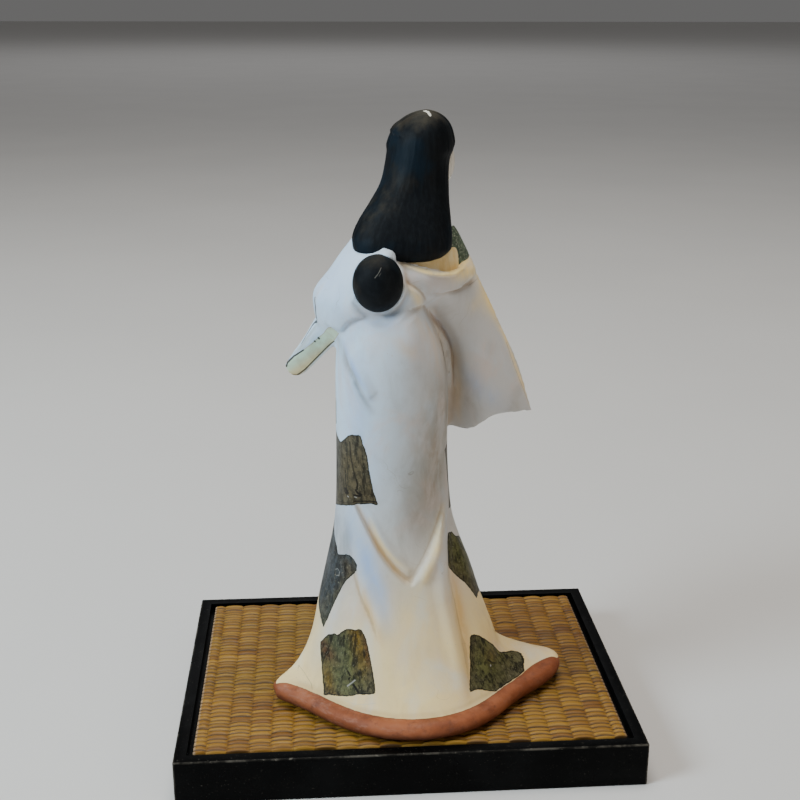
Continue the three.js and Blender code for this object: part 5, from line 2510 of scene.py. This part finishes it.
def placed(name: str, mesh: bpy.types.Mesh, node: str) -> bpy.types.Object:
    """Put a finished piece in the scene in place of a node.

    Args:
        name: the piece's name.
        mesh: its mesh, in metres in the frame.
        node: the node that it stands for.

    Returns:
        The piece.
    """
    piece = linked(name, mesh)
    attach(piece, "root")
    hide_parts(node)
    log.info("%s: %d faces", name, len(mesh.polygons))
    return piece


# Base and mat


@dataclass(frozen=True)
class Base:
    """The lacquered board with a shallow recess for the mat, in metres."""

    rim: float = 0.009
    recess: float = 0.004
    bevel: float = 0.0008
    bevel_steps: int = 4
    sharp: float = 35

    def build(self) -> bpy.types.Object:
        """Build the base.

        Returns:
            The finished piece.
        """
        low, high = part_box("base_frame")
        size, middle = high - low, (high + low) / 2
        form = bmesh.new()
        stretch = Matrix.Diagonal((*size, 1))
        bmesh.ops.create_cube(form, size=1, matrix=Matrix.Translation(middle) @ stretch)
        top = max(form.faces, key=lambda face: face.calc_center_median().z)
        outer = list(form.edges)
        bmesh.ops.inset_individual(form, faces=[top], thickness=self.rim)
        lip = list(top.edges)
        floor = bmesh.ops.extrude_discrete_faces(form, faces=[top])["faces"][0]
        bmesh.ops.translate(form, verts=floor.verts, vec=(0, 0, -self.recess))
        bmesh.ops.bridge_loops(form, edges=lip + list(floor.edges))
        bmesh.ops.bevel(
            form, geom=outer, offset=self.bevel, offset_type="OFFSET", affect="EDGES",
            segments=self.bevel_steps, profile=0.5, material=-1,
        )
        mesh = baked(form, "base")
        mesh.materials.append(Lacquer(size.x / 2, size.y / 2, high.z).make())
        mesh.shade_smooth()
        mesh.set_sharp_from_angle(angle=math.radians(self.sharp))
        return placed("base_lacquered", mesh, "base_frame")


@dataclass(frozen=True)
class Mat:
    """The woven mat: strands of rush that arch over the spaces between warp lines, in metres.

    Attributes:
        columns: warp spaces across the mat, the first and last of them narrow.
        end_share: width of the narrow spaces, as a share of a whole one.
        strand: mean width of a strand.
        swell: how high the strands arch between two warp lines.
        crest: how high each strand stands.
        bow: how far a strand bends along the mat between two warp lines.
        proud: how far the highest strands stand above the mat's plain thickness.
        seed: start of the random widths and tones.
        cells: faces across and along the mat.
    """

    columns: int = 21
    end_share: float = 0.55
    strand: float = 0.0035
    swell: float = 0.0006
    crest: float = 0.0009
    bow: float = 0.0005
    proud: float = 0.0002
    cells: tuple[int, int] = (220, 300)
    seed: int = 41

    def build(self) -> bpy.types.Object:
        """Build the mat.

        Returns:
            The finished piece.
        """
        low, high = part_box("tatami_mat")
        size, middle = high - low, (high + low) / 2
        form = bmesh.new()
        stretch = Matrix.Diagonal((size.x / 2, size.y / 2, 1, 1))
        top = Matrix.Translation((middle.x, middle.y, high.z)) @ stretch
        steps_x, steps_y = self.cells
        bmesh.ops.create_grid(form, x_segments=steps_x, y_segments=steps_y, size=1, matrix=top)
        rim = [edge for edge in form.edges if edge.is_boundary]
        skirt = bmesh.ops.extrude_edge_only(form, edges=rim)["geom"]
        for vertex in (item for item in skirt if isinstance(item, bmesh.types.BMVert)):
            vertex.co.z = low.z
        bottom = [edge for edge in form.edges if edge.is_boundary]
        bmesh.ops.contextual_create(form, geom=bottom)
        mesh = baked(form, "mat")
        skin = Skin(mesh)
        self.weave(skin, low, size, high.z)
        skin.save()
        mesh.materials.append(Rush().make())
        mesh.shade_smooth()
        return placed("mat_woven", mesh, "tatami_mat")

    def weave(self, skin: Skin, low: Vector, size: Vector, top: float) -> None:
        """Raise the strands on the top of the mat, and store their tones and their painted shade in the
        gaps.

        Args:
            skin: the skin of the mat.
            low: the lowest corner of the mat's box.
            size: the size of the box.
            top: the height of its top.
        """
        rng = np.random.default_rng(self.seed)
        is_top = skin.z > top - 1e-5
        spaces = self.columns - 2 + 2 * self.end_share
        whole = size.x / spaces
        warps = np.r_[0, self.end_share + np.arange(self.columns - 1), spaces]
        place = (skin.x - low.x) / whole
        column = np.clip(np.searchsorted(warps, place, side="right") - 1, 0, self.columns - 1)
        across = np.clip((place - warps[column]) / (warps[column + 1] - warps[column]), 0, 1)
        height, gap, tone = (np.zeros(skin.count) for _ in range(3))
        arch = np.sin(math.pi * across) ** 0.6
        for index in range(self.columns):
            count = round(size.y / self.strand * 1.3)
            widths = self.strand * np.clip(rng.normal(1, 0.16, count), 0.6, 1.5)
            edges = np.cumsum(widths) - self.strand * (2 + index % 2)
            strength = rng.uniform(0.55, 1.0, count) ** 0.7
            bows = rng.normal(0.6, 0.5, count) * self.bow
            tones, lifts = rng.random(count), rng.uniform(0.5, 1.0, count)
            here = column == index
            run = skin.y[here] - low.y
            rough_key = np.clip(np.searchsorted(edges, run), 1, count - 1)
            run = run + bows[rough_key] * np.sin(math.pi * across[here])
            key = np.clip(np.searchsorted(edges, run), 1, count - 1)
            start, end = edges[key - 1], edges[key]
            share = np.clip((run - start) / (end - start), 0, 1)
            dips = np.maximum(
                strength[key - 1] * bell(run - start, 0.00045), strength[key] * bell(end - run, 0.00095)
            )
            crest = np.sin(math.pi * share) ** 0.5 * (1 - 0.5 * dips)
            height[here] = self.crest * crest * (0.5 + 0.5 * arch[here])
            height[here] += self.swell * arch[here] * lifts[key] * (1 - 0.8 * dips)
            gap[here] = dips
            tone[here] = tones[key]
        gap = np.maximum(gap, 0.45 * bell(np.minimum(across, 1 - across) * whole, 0.0005))
        skin.points[:, 2] += np.where(is_top, height - self.swell - self.crest + self.proud, 0.0)
        side = np.minimum(skin.x - low.x, low.x + size.x - skin.x)
        skin.keep("cut", np.where(is_top, bell(side, 0.0011), 0.8))
        skin.keep("gap", np.where(is_top, gap, 0.5))
        skin.keep("tone", np.where(is_top, tone, 0.4))


# Room


class Lamp(Enum):
    """The soft lamps: place, size, power and colour."""

    WINDOW = ((1.35, 0.60, 1.10), 0.7, 30.0, (0.74, 0.90, 1.0))
    ROOM = ((-1.2, 1.2, 0.55), 1.2, 4.4, (1.0, 0.82, 0.62))
    CEILING = ((0.1, 0.0, 2.6), 1.6, 48.0, (1.0, 0.95, 0.88))
    FAR = ((0.0, -8.0, 5.0), 6.0, 75.0, (0.97, 0.98, 1.0))

    def hang(self, target: Vector) -> None:
        """Hang the lamp and aim it.

        Args:
            target: the point that it shines at.
        """
        place, size, power, colour = self.value
        light = bpy.data.lights.new(self.name.lower(), "AREA")
        light.shape = "DISK"
        light.size = size
        light.energy = power
        light.color = colour
        lamp = linked(self.name.lower(), light)
        lamp.location = place
        aim = Vector((0, 0, -1)) if self is Lamp.FAR else target - Vector(place)
        lamp.rotation_euler = aim.to_track_quat("-Z", "Y").to_euler()


@dataclass(frozen=True)
class Studio:
    """Plain floor, soft light and a camera at the viewing angle of the photograph."""

    camera_place: Point = (0.0436, 0.6013, 0.3799)
    yaw: float = 4.02
    pitch: float = 18.17
    roll: float = 0.11
    focus: float = 1203.0
    sensor: float = 36.0
    floor_size: float = 60.0
    floor: Colour = (0.70, 0.685, 0.665)
    floor_shade: Colour = (0.5, 0.49, 0.48)
    air: Colour = (0.88, 0.87, 0.86)
    air_strength: float = 0.16

    def camera(self) -> None:
        """Set up the camera."""
        data = bpy.data.cameras.new("camera")
        data.sensor_width = self.sensor
        data.lens = self.focus * self.sensor / PHOTO_SIDE
        data.clip_start = 0.01
        data.clip_end = 50
        camera = linked("camera", data)
        yaw, pitch = math.radians(self.yaw), math.radians(self.pitch)
        ahead = Vector((
            -math.sin(yaw) * math.cos(pitch), -math.cos(yaw) * math.cos(pitch), -math.sin(pitch)
        ))
        turn = ahead.to_track_quat("-Z", "Y").to_matrix().to_4x4()
        rolled = turn @ Matrix.Rotation(math.radians(self.roll), 4, "Z")
        camera.matrix_world = Matrix.Translation(self.camera_place) @ rolled
        bpy.context.scene.camera = camera

    def room(self) -> None:
        """Set up the floor, the light and the air."""
        form = bmesh.new()
        bmesh.ops.create_grid(form, x_segments=1, y_segments=1, size=self.floor_size / 2)
        mesh = baked(form, "floor")
        floor = linked("floor", mesh)
        bench = Bench("floor paper")
        tone = bench.noise(3, 3).fade(0.3, 0.7, 0, 0.1)
        colour = bench.blend(tone, self.floor, self.floor_shade)
        mesh.materials.append(bench.finish(base_color=colour, roughness=0.85))
        target = (cad_box[0] + cad_box[1]) / 2
        for lamp in Lamp:
            lamp.hang(target)
        world = bpy.data.worlds.new("air")
        world.use_nodes = True
        sky = world.node_tree.nodes["Background"]
        sky.inputs["Color"].default_value = (*self.air, 1)
        sky.inputs["Strength"].default_value = self.air_strength
        bpy.context.scene.world = world


def finishes() -> list[bpy.types.Material]:
    """Make the figure's materials.

    Returns:
        The materials, in the order of its parts.
    """
    low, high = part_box("figure")
    scale = (high.z - low.z) / GRID_PARTS
    dark, pale, marks = (
        Strokes(scale, low.z, strokes) for strokes in (DARK_STROKES, PALE_STROKES, HEAD_STROKES)
    )
    return [
        RobePaint(dark, pale).make(),
        HairPaint(marks).make(),
        SkinPaint().make(),
        CollarPaint().make(),
        LiningPaint().make(),
        HairPaint(marks, name="child hair paint", dust_share=0.5, comb=(260.0, 260.0, 200.0)).make(),
    ]


def main() -> None:
    """Build every piece in order, with the camera before them and the room after."""
    logging.basicConfig(level=logging.INFO, format="%(name)s %(message)s")
    studio = Studio()
    studio.camera()
    Base().build()
    Mat().build()
    Figure().build()
    studio.room()


if __name__ == "__main__":
    main()
